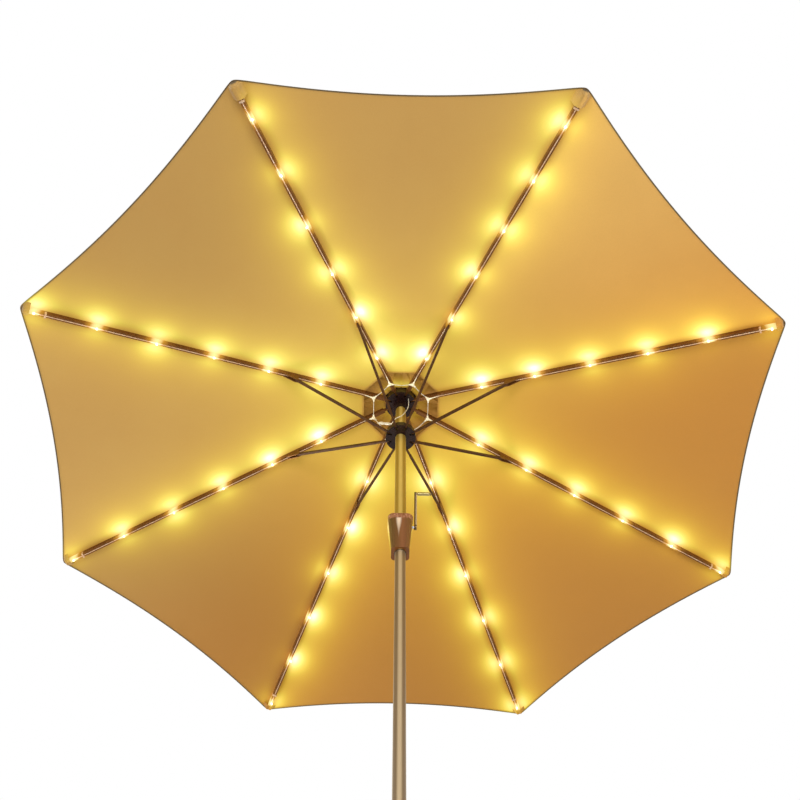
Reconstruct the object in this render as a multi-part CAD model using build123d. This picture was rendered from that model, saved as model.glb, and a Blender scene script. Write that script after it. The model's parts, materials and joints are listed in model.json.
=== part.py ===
"""Lit garden parasol: a folding eight-rib canopy on a pole, a crank lift and light strings under the ribs.

The origin is the foot of the pole, on its axis. +Z is up, the crank sticks out along +X and the side that
faces a viewer is -Y. All sizes are millimetres. Rib 1 stands at azimuth -67.5 degrees and the ribs are
counted anticlockwise seen from above.
"""
import os
from math import atan2, cos, degrees, pi, radians, sin, sqrt, tan

from build123d import *

# Canopy and ribs
rib_count = 8
first_rib_azimuth = -67.5
canopy_radius = 1350.0
rib_slope = 15.0
rib_width = 14.0
rib_height = 18.0
rib_wall = 1.2
rib_tip_inset = 20.0
rib_plug_length = 14.0
fabric_thickness = 0.8
fabric_lift = 1.0
rim_sag = 40.0
panel_gap = 0.3
vent_opening_radius = 150.0
vent_cap_radius = 290.0
vent_cap_inner_radius = 62.0
vent_cap_lift = 20.0
vent_rim_sag = 9.0
vent_strap_width = 12.0
vent_strap_inset = 15.0

# Folding links
hub_hinge_z = 2350.0
hinge_radius = 46.0
link_length = 385.0
runner_hinge_z = 2105.0
fold_angle = 60.9
blade_thickness = 6.0
blade_height = 14.0
slot_clearance = 0.5
pin_radius = 2.0
pin_clearance = 0.05
tube_start = 22.0
stretcher_width = 8.0
stretcher_depth = 10.0
stretcher_eye_radius = 6.0
stretcher_blade_length = 50.0
stretcher_pin_length = 13.0
cheek_thickness = 2.5
cheek_clearance = 0.3
cheek_back = 9.0
cheek_front = 45.0
cheek_margin = 7.0

# Pole
lower_pole_radius = 16.0
upper_pole_radius = 18.5
pole_wall = 1.5
pole_joint_gap = 1.0
spigot_length = 70.0
spigot_clearance = 0.05
spigot_wall = 1.5

# Hub and runner
hub_radius = 57.0
hub_below_hinge = 12.0
hub_above_hinge = 16.0
hub_slot_roof = 8.0
hub_slot_inner_radius = 36.0
hub_neck_radius = 29.0
hub_neck_length = 42.0
hub_pin_length = 16.0
runner_clearance = 0.3
runner_sleeve_radius = 27.0
runner_sleeve_above = 50.0
runner_flange_radius = 54.0
runner_flange_above = 12.0
runner_below = 10.0
runner_slot_inner_radius = 34.0
notch_margin = 0.8
runner_edge = 2.0
runner_stop_gap = 3.0

# Lift cord and sheave
cord_diameter = 2.4
cord_clearance = 0.2
cord_inner_offset = 9.5
cord_outer_offset = 24.5
cord_hole_radius = 2.6
sheave_width = 6.0
sheave_cheek = 1.2
sheave_flange_rise = 1.3
sheave_pocket_margin = 0.6
sheave_axle_length = 18.0

# Crank
crank_axis_drop = 25.0
housing_height = 160.0
housing_bottom_half_width = 27.5
housing_bottom_half_depth = 25.0
housing_bottom_corner = 11.0
housing_top_half_width = 39.5
housing_top_half_depth = 39.5
housing_top_corner = 19.0
housing_shoulder = 6.0
housing_wall = 3.0
shaft_radius = 4.0
shaft_back = 26.0
spool_half_width = 9.0
spool_flange_radius = 13.0
spool_flange_thickness = 2.0
arm_start = 43.0
arm_thickness = 8.0
arm_width = 11.0
arm_boss_radius = 8.5
arm_length = 115.0
arm_rest_angle = 120.0
grip_start_gap = 1.5
grip_length = 38.0
grip_radius = 5.5
spindle_radius = 2.6
grip_cap_length = 3.0
grip_edge = 1.5
screw_radius = 2.0
screw_length = 8.0
screw_head_radius = 3.8
screw_head_height = 2.2
screw_rises = (25.0, 130.0)

# Finial and solar pack
finial_seat_radius = 57.0
finial_seat_thickness = 6.0
finial_neck_radius = 46.0
finial_cap_radius = 74.0
finial_cap_gap = 7.0
finial_cap_thickness = 6.0
finial_stud_radius = 6.0
finial_stud_length = 15.0
case_radius = 72.0
case_height = 30.0
case_wall = 2.5
solar_inset = 3.0
solar_thickness = 3.0
solar_clearance = 0.2
battery_radius = 9.0
battery_length = 65.0
battery_offset = 18.0
board_length = 50.0
board_width = 30.0
board_thickness = 1.6
board_stand_off = 3.0
button_radius = 5.0
button_clearance = 0.3
button_proud = 2.0
button_length = 10.0

# Light strings
wire_diameter = 3.2
wire_drop = 0.3
led_count = 6
led_outer_inset = 50.0
led_bracket_gap = 107.0
led_tail_shift = 77.0
tail_ribs = (1, 8)
tail_length = 95.0
led_radius = 3.4
led_body_length = 4.5
collar_radius = 4.2
collar_length = 4.4
collar_grip = 0.8
clip_inset = 35.0
clip_width = 6.0
clip_thickness = 1.2
clip_rise = 11.0
junction_radius_position = 115.0
junction_drop = 20.0
junction_ball_radius = 6.5
junction_arm_length = 14.0
junction_arm_root = 4.6
junction_arm_tip = 2.4
strand_bend_run = 40.0
strand_bend_radius = 60.0
ring_diameter = 2.6
ring_end_gap = 1.2
ring_sags = (6.0, 7.0, 6.0, 9.0, 13.0, 8.0, 6.0, 7.0)
lead_diameter = 2.6
lead_hole_radius = 1.8
lead_rib = 6
lead_exit = (28.3, -28.3)
lead_top_rise = 4.0
lead_points = (
    (29.5, -23.5, -40.0),
    (26.0, -20.5, -72.0),
    (16.0, -26.0, -112.0),
    (3.0, -28.5, -145.0),
    (-13.0, -26.5, -153.0),
    (-26.0, -15.5, -153.0),
    (-30.0, -3.0, -151.0),
)
connector_start = (-36.0, 4.5, -147.5)
connector_end = (-81.0, 14.0, -124.0)
connector_radius = 4.6
connector_cap_radius = 5.6
connector_cap_length = 9.0
link_point = (-97.0, 24.0, -80.0)

# Places worked out from the driving sizes
slope = radians(rib_slope)
half_sector = radians(180.0 / rib_count)
half_drop = (hub_hinge_z - runner_hinge_z) / 2
link_reach = sqrt(link_length**2 - half_drop**2)
link_angle = degrees(atan2(half_drop, link_reach))
bracket_angle = radians(link_angle - rib_slope)
bracket_u = link_length * cos(bracket_angle)
bracket_n = -link_length * sin(bracket_angle)
rib_bottom_n = -rib_height / 2
wire_n = rib_bottom_n - wire_drop - wire_diameter / 2
collar_bottom_n = wire_n + collar_grip - collar_length
led_outer_radius = canopy_radius - led_outer_inset
led_bracket_radius = hinge_radius + link_reach + led_bracket_gap
led_pitch = (led_outer_radius - led_bracket_radius) / (led_count - 2)
fabric_top_n = rib_height / 2 + fabric_lift + fabric_thickness
apex_z = hub_hinge_z + hinge_radius * tan(slope) + fabric_top_n / cos(slope)
slot_width = blade_thickness + 2 * slot_clearance
hub_bottom_z = hub_hinge_z - hub_below_hinge
hub_top_z = hub_hinge_z + hub_above_hinge
neck_bottom_z = hub_bottom_z - hub_neck_length
upper_bore_radius = upper_pole_radius - pole_wall
lower_bore_radius = lower_pole_radius - pole_wall
runner_top_z = runner_hinge_z + runner_sleeve_above
runner_bottom_z = runner_hinge_z - runner_below
runner_travel = 2 * link_length * (sin(radians(link_angle + fold_angle)) - sin(radians(link_angle)))
housing_top_z = runner_bottom_z - runner_travel - runner_stop_gap
housing_bottom_z = housing_top_z - housing_height
crank_axis_z = housing_top_z - crank_axis_drop
housing_taper = (housing_top_half_depth - housing_bottom_half_depth) / (housing_height - housing_shoulder)
pole_joint_z = housing_bottom_z - pole_joint_gap
sheave_turn_radius = (cord_outer_offset - cord_inner_offset) / 2
sheave_y = (cord_outer_offset + cord_inner_offset) / 2
sheave_groove_radius = sheave_turn_radius - cord_diameter / 2 - cord_clearance
sheave_radius = sheave_turn_radius + sheave_flange_rise
drum_radius = cord_inner_offset - cord_diameter / 2 - cord_clearance
finial_seat_top_z = hub_top_z + finial_seat_thickness
finial_cap_bottom_z = finial_seat_top_z + finial_cap_gap
finial_top_z = finial_cap_bottom_z + finial_cap_thickness
case_top_z = finial_top_z + case_height
solar_bottom_z = case_top_z - solar_thickness


def rib_azimuth(k):
    """Azimuth in degrees of rib k, counted from 1."""
    return first_rib_azimuth + 360.0 / rib_count * (k - 1)


def around(k):
    """Turns a piece built at azimuth 0 to rib k."""
    return Rot(0, 0, rib_azimuth(k))


def on_rib():
    """Frame of a rib at azimuth 0: X down along the rib, Y sideways, Z square to it, origin on the hinge."""
    return Pos(hinge_radius, 0, hub_hinge_z) * Rot(0, rib_slope, 0)


def rib_u(radius):
    """Distance along the rib axis, from its hinge, of a point at this radius from the pole axis."""
    return (radius - hinge_radius) / cos(slope)


def bar(x0, x1, y0, y1, z0, z1):
    """Box given by its limits."""
    return Pos((x0 + x1) / 2, (y0 + y1) / 2, (z0 + z1) / 2) * Box(x1 - x0, y1 - y0, z1 - z0)


def rod(radius, z0, z1, x=0.0, y=0.0):
    """Upright cylinder between two heights."""
    return Pos(x, y, (z0 + z1) / 2) * Cylinder(radius, z1 - z0)


def cross_rod(radius, length, x, z):
    """Cylinder along Y, centred on y = 0."""
    return Pos(x, 0, z) * Rot(90, 0, 0) * Cylinder(radius, length)


def side_rod(radius, x0, x1, y=0.0, z=0.0):
    """Cylinder along X between two places."""
    return Pos((x0 + x1) / 2, y, z) * Rot(0, 90, 0) * Cylinder(radius, x1 - x0)


def tapered_arm(start, direction, length, root, tip):
    """Round arm that narrows from root radius to tip radius."""
    plane = Plane(origin=start, z_dir=direction)
    return plane.location * Pos(0, 0, length / 2) * Cone(root, tip, length)


def cord_tube(name, spots, diameter):
    """Round tube along straight runs joined by the largest tangent arcs that the runs leave room for."""
    radii = []
    for before, corner, after in zip(spots, spots[1:], spots[2:]):
        run_in = corner - before
        run_out = after - corner
        turn = radians(run_in.get_angle(run_out))
        radii.append(0.45 * min(run_in.length, run_out.length) / tan(turn / 2))
    path = FilletPolyline(*spots, radius=radii)
    section = Plane(origin=path @ 0, z_dir=path % 0) * Circle(diameter / 2)
    tube = sweep(section, path=path)
    expected = pi * diameter**2 / 4 * path.length
    rounded = [round(r, 1) for r in radii]
    print(f"{name}: length {path.length:.1f}, radii {rounded}, volume ratio {tube.volume / expected:.4f}")
    return tube


def write(node, shape):
    export_step(shape, os.path.join("parts", node + ".step"))


# Ribs

def make_rib():
    """Hollow rib with its hinge blade and the clevis that holds the stretcher's pin."""
    tube_end = rib_u(canopy_radius - rib_tip_inset)
    half_width = rib_width / 2
    half_height = rib_height / 2
    outer = bar(tube_start, tube_end, -half_width, half_width, -half_height, half_height)
    inner = bar(
        tube_start + rib_plug_length,
        tube_end,
        rib_wall - half_width,
        half_width - rib_wall,
        rib_wall - half_height,
        half_height - rib_wall,
    )
    blade = bar(
        0,
        tube_start + rib_plug_length / 2,
        -blade_thickness / 2,
        blade_thickness / 2,
        -blade_height / 2,
        blade_height / 2,
    )
    eye = cross_rod(blade_height / 2, blade_thickness, 0, 0)
    hole = cross_rod(pin_radius + pin_clearance, 2 * blade_thickness, 0, 0)
    rib = outer - inner + blade + eye - hole

    inside = stretcher_width / 2 + cheek_clearance
    low = bracket_n - cheek_margin
    seat = rib_bottom_n + rib_wall / 2
    with BuildSketch(Plane.XZ) as cheek_outline:
        with BuildLine():
            Polyline(
                (bracket_u - cheek_back, seat),
                (bracket_u + cheek_front, seat),
                (bracket_u + cheek_front, rib_bottom_n - cheek_thickness),
                (bracket_u + cheek_margin, low),
                (bracket_u - cheek_margin, low),
                (bracket_u - cheek_back, bracket_n),
                close=True,
            )
        make_face()
    cheek = extrude(cheek_outline.sketch, amount=cheek_thickness)
    near_cheek = Pos(0, -inside, 0) * cheek
    far_cheek = Pos(0, inside + cheek_thickness, 0) * cheek
    rivet = cross_rod(pin_radius, 2 * (inside + cheek_thickness), bracket_u, bracket_n)
    return on_rib() * (rib + near_cheek + far_cheek + rivet)


def make_stretcher():
    """Strut from the rib's clevis to the runner, with its cross pin at the runner end."""
    bar_end = link_length - stretcher_blade_length
    half_depth = stretcher_depth / 2
    half_width = stretcher_width / 2
    half_blade = blade_thickness / 2
    strut = bar(0, bar_end, -half_width, half_width, -half_depth, half_depth)
    strut += cross_rod(stretcher_eye_radius, stretcher_width, 0, 0)
    strut += bar(bar_end - half_depth, link_length, -half_blade, half_blade, -half_depth, half_depth)
    strut += cross_rod(stretcher_eye_radius, blade_thickness, link_length, 0)
    strut -= cross_rod(pin_radius + pin_clearance, 2 * stretcher_width, 0, 0)
    strut += cross_rod(pin_radius, stretcher_pin_length, link_length, 0)
    angle = radians(link_angle)
    pivot = (hinge_radius + link_reach, 0, hub_hinge_z - half_drop)
    plane = Plane(origin=pivot, x_dir=(-cos(angle), 0, -sin(angle)), z_dir=(sin(angle), 0, -cos(angle)))
    return plane.location * strut


# Canopy

def gore_point(radius, share, height):
    """Point of the pyramid whose apex is at this height: share 0 is on the rib, share 1 in mid gore."""
    across = radius * sin(half_sector) * cos(half_sector) * share
    along = radius * (1 - sin(half_sector) ** 2 * share)
    return Vector(along, across, height - radius * tan(slope))


def half_gore(inner_radius, outer_radius, sag, height):
    """Sheet from a rib to mid gore, with a straight inner edge and a rim drawn in by sag."""
    inner_rib = gore_point(inner_radius, 0, height)
    inner_mid = gore_point(inner_radius, 1, height)
    corner = gore_point(outer_radius, 0, height)
    rim_mid = gore_point(outer_radius, 1, height)
    side = (rim_mid - corner).normalized()
    down = (rim_mid - inner_mid).normalized()
    half_chord = (rim_mid - corner).length
    rim_radius = (half_chord**2 + sag**2) / (2 * sag)
    half_turn = atan2(half_chord, rim_radius - sag) / 2
    centre = rim_mid + down * (rim_radius - sag)
    rim_low = centre - down * rim_radius - side * (panel_gap / 2)
    rim_quarter = centre - down * (rim_radius * cos(half_turn)) - side * (rim_radius * sin(half_turn))
    inner_mid -= side * (panel_gap / 2)
    edge = [
        Line(inner_rib, corner),
        ThreePointArc(corner, rim_quarter, rim_low),
        Line(rim_low, inner_mid),
        Line(inner_mid, inner_rib),
    ]
    sheet = make_face(edge)
    inward = side.cross(down).normalized()
    if inward.Z > 0:
        inward = inward * -1
    return extrude(sheet, amount=fabric_thickness, dir=inward)


def make_canopy_panel():
    """Fabric on one rib, from mid gore to mid gore, with its share of the vent cap and the strap between."""
    lower_half = half_gore(vent_opening_radius, canopy_radius, rim_sag, apex_z)
    cap_height = apex_z + vent_cap_lift
    cap_half = half_gore(vent_cap_inner_radius, vent_cap_radius, vent_rim_sag, cap_height)
    strap_u = rib_u(vent_cap_radius - vent_strap_inset)
    strap = on_rib() * bar(
        strap_u - vent_strap_width / 2,
        strap_u + vent_strap_width / 2,
        -vent_strap_width / 2,
        vent_strap_width / 2,
        fabric_top_n - fabric_thickness,
        fabric_top_n + vent_cap_lift * cos(slope) - fabric_thickness / 2,
    )
    halves = lower_half + mirror(lower_half, about=Plane.XZ)
    cap = cap_half + mirror(cap_half, about=Plane.XZ)
    return halves + cap + strap


# Lights

def led_radii(k):
    """Distances from the pole axis of the lamps on rib k, from the rim inwards."""
    outer = led_outer_radius - led_tail_shift if k in tail_ribs else led_outer_radius
    return [outer - led_pitch * i for i in range(led_count)]


def junction_place():
    """Middle of a string's branching piece, at azimuth 0."""
    spot = on_rib() * Pos(rib_u(junction_radius_position), 0, -junction_drop)
    return spot.position


def ring_direction():
    """Direction from one branching piece to the next, at azimuth 0."""
    return Vector(-sin(half_sector), cos(half_sector), 0)


def make_light_strand(k):
    """Wire under one rib with its lamp collars, the clip near the rib's end and the branching piece."""
    start_u = rib_u(junction_radius_position)
    end_radius = led_radii(k)[0] + tail_length if k in tail_ribs else led_radii(k)[0]
    path = FilletPolyline(
        (start_u, 0, -junction_drop),
        (start_u + strand_bend_run, 0, wire_n),
        (rib_u(end_radius), 0, wire_n),
        radius=strand_bend_radius,
    )
    section = Plane(origin=path @ 0, z_dir=path % 0) * Circle(wire_diameter / 2)
    strand = sweep(section, path=path)
    for radius in led_radii(k):
        strand += rod(collar_radius, collar_bottom_n, wire_n + collar_grip, x=rib_u(radius))
    clip_u = rib_u(end_radius - clip_inset)
    clip_low = wire_n - wire_diameter / 2 - clip_thickness / 2
    clip_half = rib_width / 2 + wire_drop
    clip_limits = (clip_u - clip_width / 2, clip_u + clip_width / 2)
    clip = bar(
        *clip_limits,
        -clip_half - clip_thickness,
        clip_half + clip_thickness,
        clip_low,
        rib_bottom_n + clip_rise,
    )
    clip -= bar(*clip_limits, -clip_half, clip_half, wire_n + collar_grip, rib_bottom_n + clip_rise)
    strand = on_rib() * (strand + clip)

    middle = junction_place()
    outward = on_rib() * Pos(start_u + strand_bend_run, 0, wire_n)
    sideways = ring_direction()
    strand += Pos(*middle) * Sphere(junction_ball_radius)
    for direction in (
        (outward.position - middle).normalized(),
        sideways,
        Vector(sideways.X, -sideways.Y, 0),
    ):
        strand += tapered_arm(middle, direction, junction_arm_length, junction_arm_root, junction_arm_tip)
    return strand


def make_leds(k):
    """Lamp lenses of one string, each a round-nosed solid under its collar."""
    lamps = []
    for radius in led_radii(k):
        u = rib_u(radius)
        nose_n = collar_bottom_n - led_body_length
        lamp = rod(led_radius, nose_n, collar_bottom_n, x=u)
        lamp += Pos(u, 0, nose_n) * Sphere(led_radius)
        lamps.append(around(k) * on_rib() * lamp)
    return Compound([solid for lamp in lamps for solid in lamp.solids()])


def make_light_ring():
    """Wires that join each string's branching piece to the next, each sagging under its own weight."""
    middle = junction_place()
    sideways = ring_direction()
    reach = junction_arm_length + ring_end_gap
    first = middle + sideways * reach
    last = (middle + Vector(sideways.X, -sideways.Y, 0) * reach).rotate(Axis.Z, 360.0 / rib_count)
    wires = []
    for k in range(1, rib_count + 1):
        sag = Vector(0, 0, -ring_sags[(k - 1) % len(ring_sags)])
        points = [first, first * (2 / 3) + last * (1 / 3) + sag, first * (1 / 3) + last * (2 / 3) + sag, last]
        route = [p.rotate(Axis.Z, rib_azimuth(k)) for p in points]
        wires.append(cord_tube(f"ring wire {k}", route, ring_diameter))
    return Compound([solid for wire in wires for solid in wire.solids()])


def from_hub(point):
    """Point given with its height measured from the hub's hinges."""
    return Vector(point[0], point[1], hub_hinge_z + point[2])


def make_supply_lead():
    """Lead from the solar pack through the hub to its connector, and on to the string that feeds the rest."""
    start = Vector(*lead_exit, finial_top_z + case_wall + lead_top_rise)
    leave = Vector(*lead_exit, hub_bottom_z + lead_top_rise)
    plug_start = from_hub(connector_start)
    plug_end = from_hub(connector_end)
    free = [from_hub(p) for p in lead_points]
    inside = rod(lead_diameter / 2, leave.Z, start.Z, *lead_exit)
    hanging = cord_tube("supply lead", [leave, *free, plug_start], lead_diameter)
    along = (plug_end - plug_start).normalized()
    barrel_length = (plug_end - plug_start).length
    barrel = Plane(origin=plug_start, z_dir=along).location
    plug = barrel * rod(connector_radius, 0, barrel_length)
    for cap_start in (connector_cap_length, barrel_length - 2 * connector_cap_length):
        plug += barrel * rod(connector_cap_radius, cap_start, cap_start + connector_cap_length)
    ball = junction_place().rotate(Axis.Z, rib_azimuth(lead_rib))
    reach = (ball - from_hub(link_point)).normalized()
    meet = ball - reach * (junction_ball_radius + wire_drop)
    tail = cord_tube("lead tail", [plug_end, from_hub(link_point), meet], lead_diameter)
    return inside + hanging + plug + tail


# Pole, hub and runner

def make_lower_pole():
    return rod(lower_pole_radius, 0, pole_joint_z) - rod(lower_bore_radius, 0, pole_joint_z)


def make_upper_pole():
    """Upper tube with the spigot that drops into the lower pole, and the bearing holes of the crank shaft."""
    spigot_radius = lower_bore_radius - spigot_clearance
    bottom = pole_joint_z - spigot_length
    pole = rod(upper_pole_radius, pole_joint_z, hub_bottom_z) + rod(spigot_radius, bottom, pole_joint_z)
    pole -= rod(spigot_radius - spigot_wall, bottom, pole_joint_z + spigot_wall)
    pole -= rod(upper_bore_radius, pole_joint_z + spigot_wall, hub_bottom_z)
    pole -= side_rod(shaft_radius + pin_clearance, -upper_pole_radius, upper_pole_radius, z=crank_axis_z)
    return pole


def make_top_hub():
    """Hub with a slot for each rib, a neck round the pole's end and the pocket for the lift cord's sheave."""
    hub = rod(hub_radius, hub_bottom_z, hub_top_z) + rod(hub_neck_radius, neck_bottom_z, hub_bottom_z)
    hub -= rod(upper_pole_radius, neck_bottom_z, hub_bottom_z)
    slot = bar(
        hub_slot_inner_radius,
        hub_radius + slot_width,
        -slot_width / 2,
        slot_width / 2,
        hub_bottom_z,
        hub_top_z - hub_slot_roof,
    )
    pin = cross_rod(pin_radius, hub_pin_length, hinge_radius, hub_hinge_z)
    for k in range(1, rib_count + 1):
        hub -= around(k) * (slot + pin)
    reach = sheave_radius + sheave_pocket_margin
    half_pocket = sheave_width / 2 + sheave_pocket_margin
    pocket_y = (sheave_y - reach, sheave_y + reach)
    hub -= bar(-half_pocket, half_pocket, *pocket_y, hub_bottom_z, hub_hinge_z + reach)
    hub -= rod(cord_hole_radius, neck_bottom_z, hub_bottom_z, y=cord_outer_offset)
    hub -= side_rod(pin_radius, -sheave_axle_length / 2, sheave_axle_length / 2, y=sheave_y, z=hub_hinge_z)
    hub -= rod(lead_hole_radius, hub_bottom_z, hub_top_z, *lead_exit)
    hub -= rod(finial_stud_radius, hub_top_z - finial_stud_length, hub_top_z)
    return hub


def make_hub_pins():
    """Hinge pins of the ribs and the sheave's axle, as separate solids."""
    pins = [side_rod(pin_radius, -sheave_axle_length / 2, sheave_axle_length / 2, y=sheave_y, z=hub_hinge_z)]
    for k in range(1, rib_count + 1):
        pins.append(around(k) * cross_rod(pin_radius, hub_pin_length, hinge_radius, hub_hinge_z))
    return Compound([solid for pin in pins for solid in pin.solids()])


def make_top_sheave():
    """Grooved wheel that turns the lift cord over from the inside of the pole to the outside."""
    half = sheave_width / 2
    wheel = side_rod(sheave_radius, -half, half)
    wheel -= side_rod(sheave_radius, sheave_cheek - half, half - sheave_cheek)
    wheel += side_rod(sheave_groove_radius, -half, half)
    wheel -= side_rod(pin_radius + pin_clearance, -half, half)
    return Pos(0, sheave_y, hub_hinge_z) * wheel


def make_runner():
    """Sliding collar with slots for the stretchers and notches, open below, that seat their pins."""
    flange_top = runner_hinge_z + runner_flange_above
    runner = rod(runner_sleeve_radius, runner_bottom_z, runner_top_z)
    runner += rod(runner_flange_radius, runner_bottom_z, flange_top)
    runner = fillet(runner.edges().filter_by(GeomType.CIRCLE).group_by(Axis.Z)[-1], runner_edge)
    runner -= rod(upper_pole_radius + runner_clearance, runner_bottom_z, runner_top_z)
    slot = bar(
        runner_slot_inner_radius,
        runner_flange_radius + slot_width,
        -slot_width / 2,
        slot_width / 2,
        runner_bottom_z,
        flange_top,
    )
    seat_radius = pin_radius + pin_clearance
    notch_length = stretcher_pin_length + 2 * notch_margin
    seat = cross_rod(seat_radius, notch_length, hinge_radius, runner_hinge_z)
    mouth = bar(
        hinge_radius - seat_radius,
        hinge_radius + seat_radius,
        -notch_length / 2,
        notch_length / 2,
        runner_bottom_z,
        runner_hinge_z,
    )
    for k in range(1, rib_count + 1):
        runner -= around(k) * (slot + seat + mouth)
    return runner


def make_lift_cord():
    """Cord from the crank's drum up inside the pole, over the sheave and down outside to the runner."""
    rise = Line((0, cord_inner_offset, crank_axis_z), (0, cord_inner_offset, hub_hinge_z))
    turn = ThreePointArc(
        (0, cord_inner_offset, hub_hinge_z),
        (0, sheave_y, hub_hinge_z + sheave_turn_radius),
        (0, cord_outer_offset, hub_hinge_z),
    )
    fall = Line((0, cord_outer_offset, hub_hinge_z), (0, cord_outer_offset, runner_top_z + cord_clearance))
    path = Wire([rise, turn, fall])
    section = Plane(origin=path @ 0, z_dir=path % 0) * Circle(cord_diameter / 2)
    cord = sweep(section, path=path)
    print(f"lift cord: length {path.length:.1f}, radius {sheave_turn_radius}")
    return cord


# Crank

def housing_section(half_width, half_depth, corner, height):
    """Rounded outline of the housing at one height."""
    return Plane.XY.offset(height) * RectangleRounded(2 * half_width, 2 * half_depth, corner)


def housing_form(offset):
    """Tapered box with rounded corners and a sloped shoulder, drawn in by offset."""
    low = housing_bottom_z + offset
    high = housing_top_z - offset
    half_width = housing_top_half_width - offset
    half_depth = housing_top_half_depth - offset
    corner = housing_top_corner - offset
    bottom = housing_section(
        housing_bottom_half_width - offset,
        housing_bottom_half_depth - offset,
        housing_bottom_corner - offset,
        low,
    )
    shoulder = housing_section(half_width, half_depth, corner, high - housing_shoulder)
    top = housing_section(
        half_width - housing_shoulder, half_depth - housing_shoulder, corner - housing_shoulder, high
    )
    return loft([bottom, shoulder]) + loft([shoulder, top])


def screw_places():
    """Points and directions of the set screws at the back of the housing."""
    for rise in screw_rises:
        yield housing_bottom_half_depth + housing_taper * rise, housing_bottom_z + rise


def make_crank_housing():
    """Tapered shell clamped on the pole, hollow round the crank's bearings."""
    housing = housing_form(0.0) - housing_form(housing_wall)
    housing -= rod(upper_pole_radius, housing_bottom_z, housing_top_z)
    housing -= side_rod(shaft_radius + pin_clearance, 0, arm_start, z=crank_axis_z)
    for radius, height in screw_places():
        housing -= Pos(0, radius, height) * Rot(90, 0, 0) * Cylinder(screw_radius, 2 * screw_length)
    return housing


def make_housing_screws():
    """Set screws that fix the housing, with round heads, as separate solids."""
    screws = []
    for radius, height in screw_places():
        surface = Pos(0, radius, height) * Rot(90, 0, 0)
        screw = rod(screw_radius, -screw_head_height, screw_length)
        screw += rod(screw_head_radius, -1.5 * screw_head_height, -screw_head_height / 2)
        screws.append(surface * screw)
    return Compound([solid for screw in screws for solid in screw.solids()])


def make_crank_spool():
    """Crank shaft with the drum that winds the lift cord inside the pole."""
    spool = side_rod(shaft_radius, -shaft_back, arm_start + arm_thickness)
    spool += side_rod(drum_radius, -spool_half_width, spool_half_width)
    for side in (-1, 1):
        edge = side * (spool_half_width + spool_flange_thickness / 2)
        half = spool_flange_thickness / 2
        spool += side_rod(spool_flange_radius, edge - half, edge + half)
    return Pos(0, 0, crank_axis_z) * spool


def make_crank_arm():
    """Flat arm on the shaft's end, with the spindle that carries the grip."""
    arm_end = arm_start + arm_thickness
    arm = bar(arm_start, arm_end, 0, arm_length, -arm_width / 2, arm_width / 2)
    arm += side_rod(arm_width / 2, arm_start, arm_end, y=arm_length)
    arm += side_rod(arm_boss_radius, arm_start, arm_end)
    arm -= side_rod(shaft_radius, arm_start, arm_end)
    spindle_end = arm_end + 2 * grip_start_gap + grip_length
    arm += side_rod(spindle_radius, arm_end, spindle_end, y=arm_length)
    arm += side_rod(grip_radius, spindle_end, spindle_end + grip_cap_length, y=arm_length)
    return Pos(0, 0, crank_axis_z) * Rot(arm_rest_angle, 0, 0) * arm


def make_crank_grip():
    """Sleeve that turns freely on the arm's spindle."""
    start = arm_start + arm_thickness + grip_start_gap
    grip = side_rod(grip_radius, start, start + grip_length, y=arm_length)
    grip = fillet(grip.edges().filter_by(GeomType.CIRCLE), grip_edge)
    grip -= side_rod(spindle_radius + pin_clearance, start, start + grip_length, y=arm_length)
    return Pos(0, 0, crank_axis_z) * Rot(arm_rest_angle, 0, 0) * grip


# Finial and solar pack

def make_finial():
    """Knob that clamps the vent cap to the hub and carries the solar pack."""
    finial = rod(finial_seat_radius, hub_top_z, finial_seat_top_z)
    finial += rod(finial_neck_radius, finial_seat_top_z, finial_cap_bottom_z)
    finial += rod(finial_cap_radius, finial_cap_bottom_z, finial_top_z)
    finial += rod(finial_stud_radius, hub_top_z - finial_stud_length, hub_top_z)
    finial -= rod(lead_hole_radius, hub_top_z, finial_top_z, *lead_exit)
    return finial


def make_solar_case():
    """Round tray under the solar panel, with the button's hole in its front wall."""
    case = rod(case_radius, finial_top_z, case_top_z)
    case -= rod(case_radius - case_wall, finial_top_z + case_wall, case_top_z)
    ledge_radius = case_radius - solar_inset
    ledge = rod(case_radius, solar_bottom_z - case_wall, solar_bottom_z)
    ledge -= rod(ledge_radius - 2 * case_wall, solar_bottom_z - case_wall, solar_bottom_z)
    case += ledge
    case -= rod(lead_hole_radius, finial_top_z, finial_top_z + case_wall, *lead_exit)
    case -= button_place(0) * Cylinder(button_radius + button_clearance, 4 * case_wall)
    return case


def button_place(inward):
    """Frame on the front wall of the solar case, moved inwards, with Z along the button's travel."""
    height = (finial_top_z + case_wall + solar_bottom_z - case_wall) / 2
    return Pos(0, inward - case_radius, height) * Rot(-90, 0, 0)


def make_solar_panel():
    radius = case_radius - case_wall - solar_clearance
    return rod(radius, solar_bottom_z, case_top_z)


def make_battery_cell():
    height = finial_top_z + case_wall + battery_radius
    return side_rod(battery_radius, -battery_length / 2, battery_length / 2, y=battery_offset, z=height)


def make_circuit_board():
    floor_z = finial_top_z + case_wall + board_stand_off
    y0 = battery_offset - battery_radius - board_width - board_stand_off
    board = bar(-board_length / 2, board_length / 2, y0, y0 + board_width, floor_z, floor_z + board_thickness)
    for x in (-board_length / 2 + board_stand_off, board_length / 2 - board_stand_off):
        for y in (y0 + board_stand_off, y0 + board_width - board_stand_off):
            board += rod(board_stand_off / 2, floor_z - board_stand_off, floor_z, x=x, y=y)
    return board


def make_power_button():
    return button_place(button_length / 2 - button_proud) * Cylinder(button_radius, button_length)


os.makedirs("parts", exist_ok=True)

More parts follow.
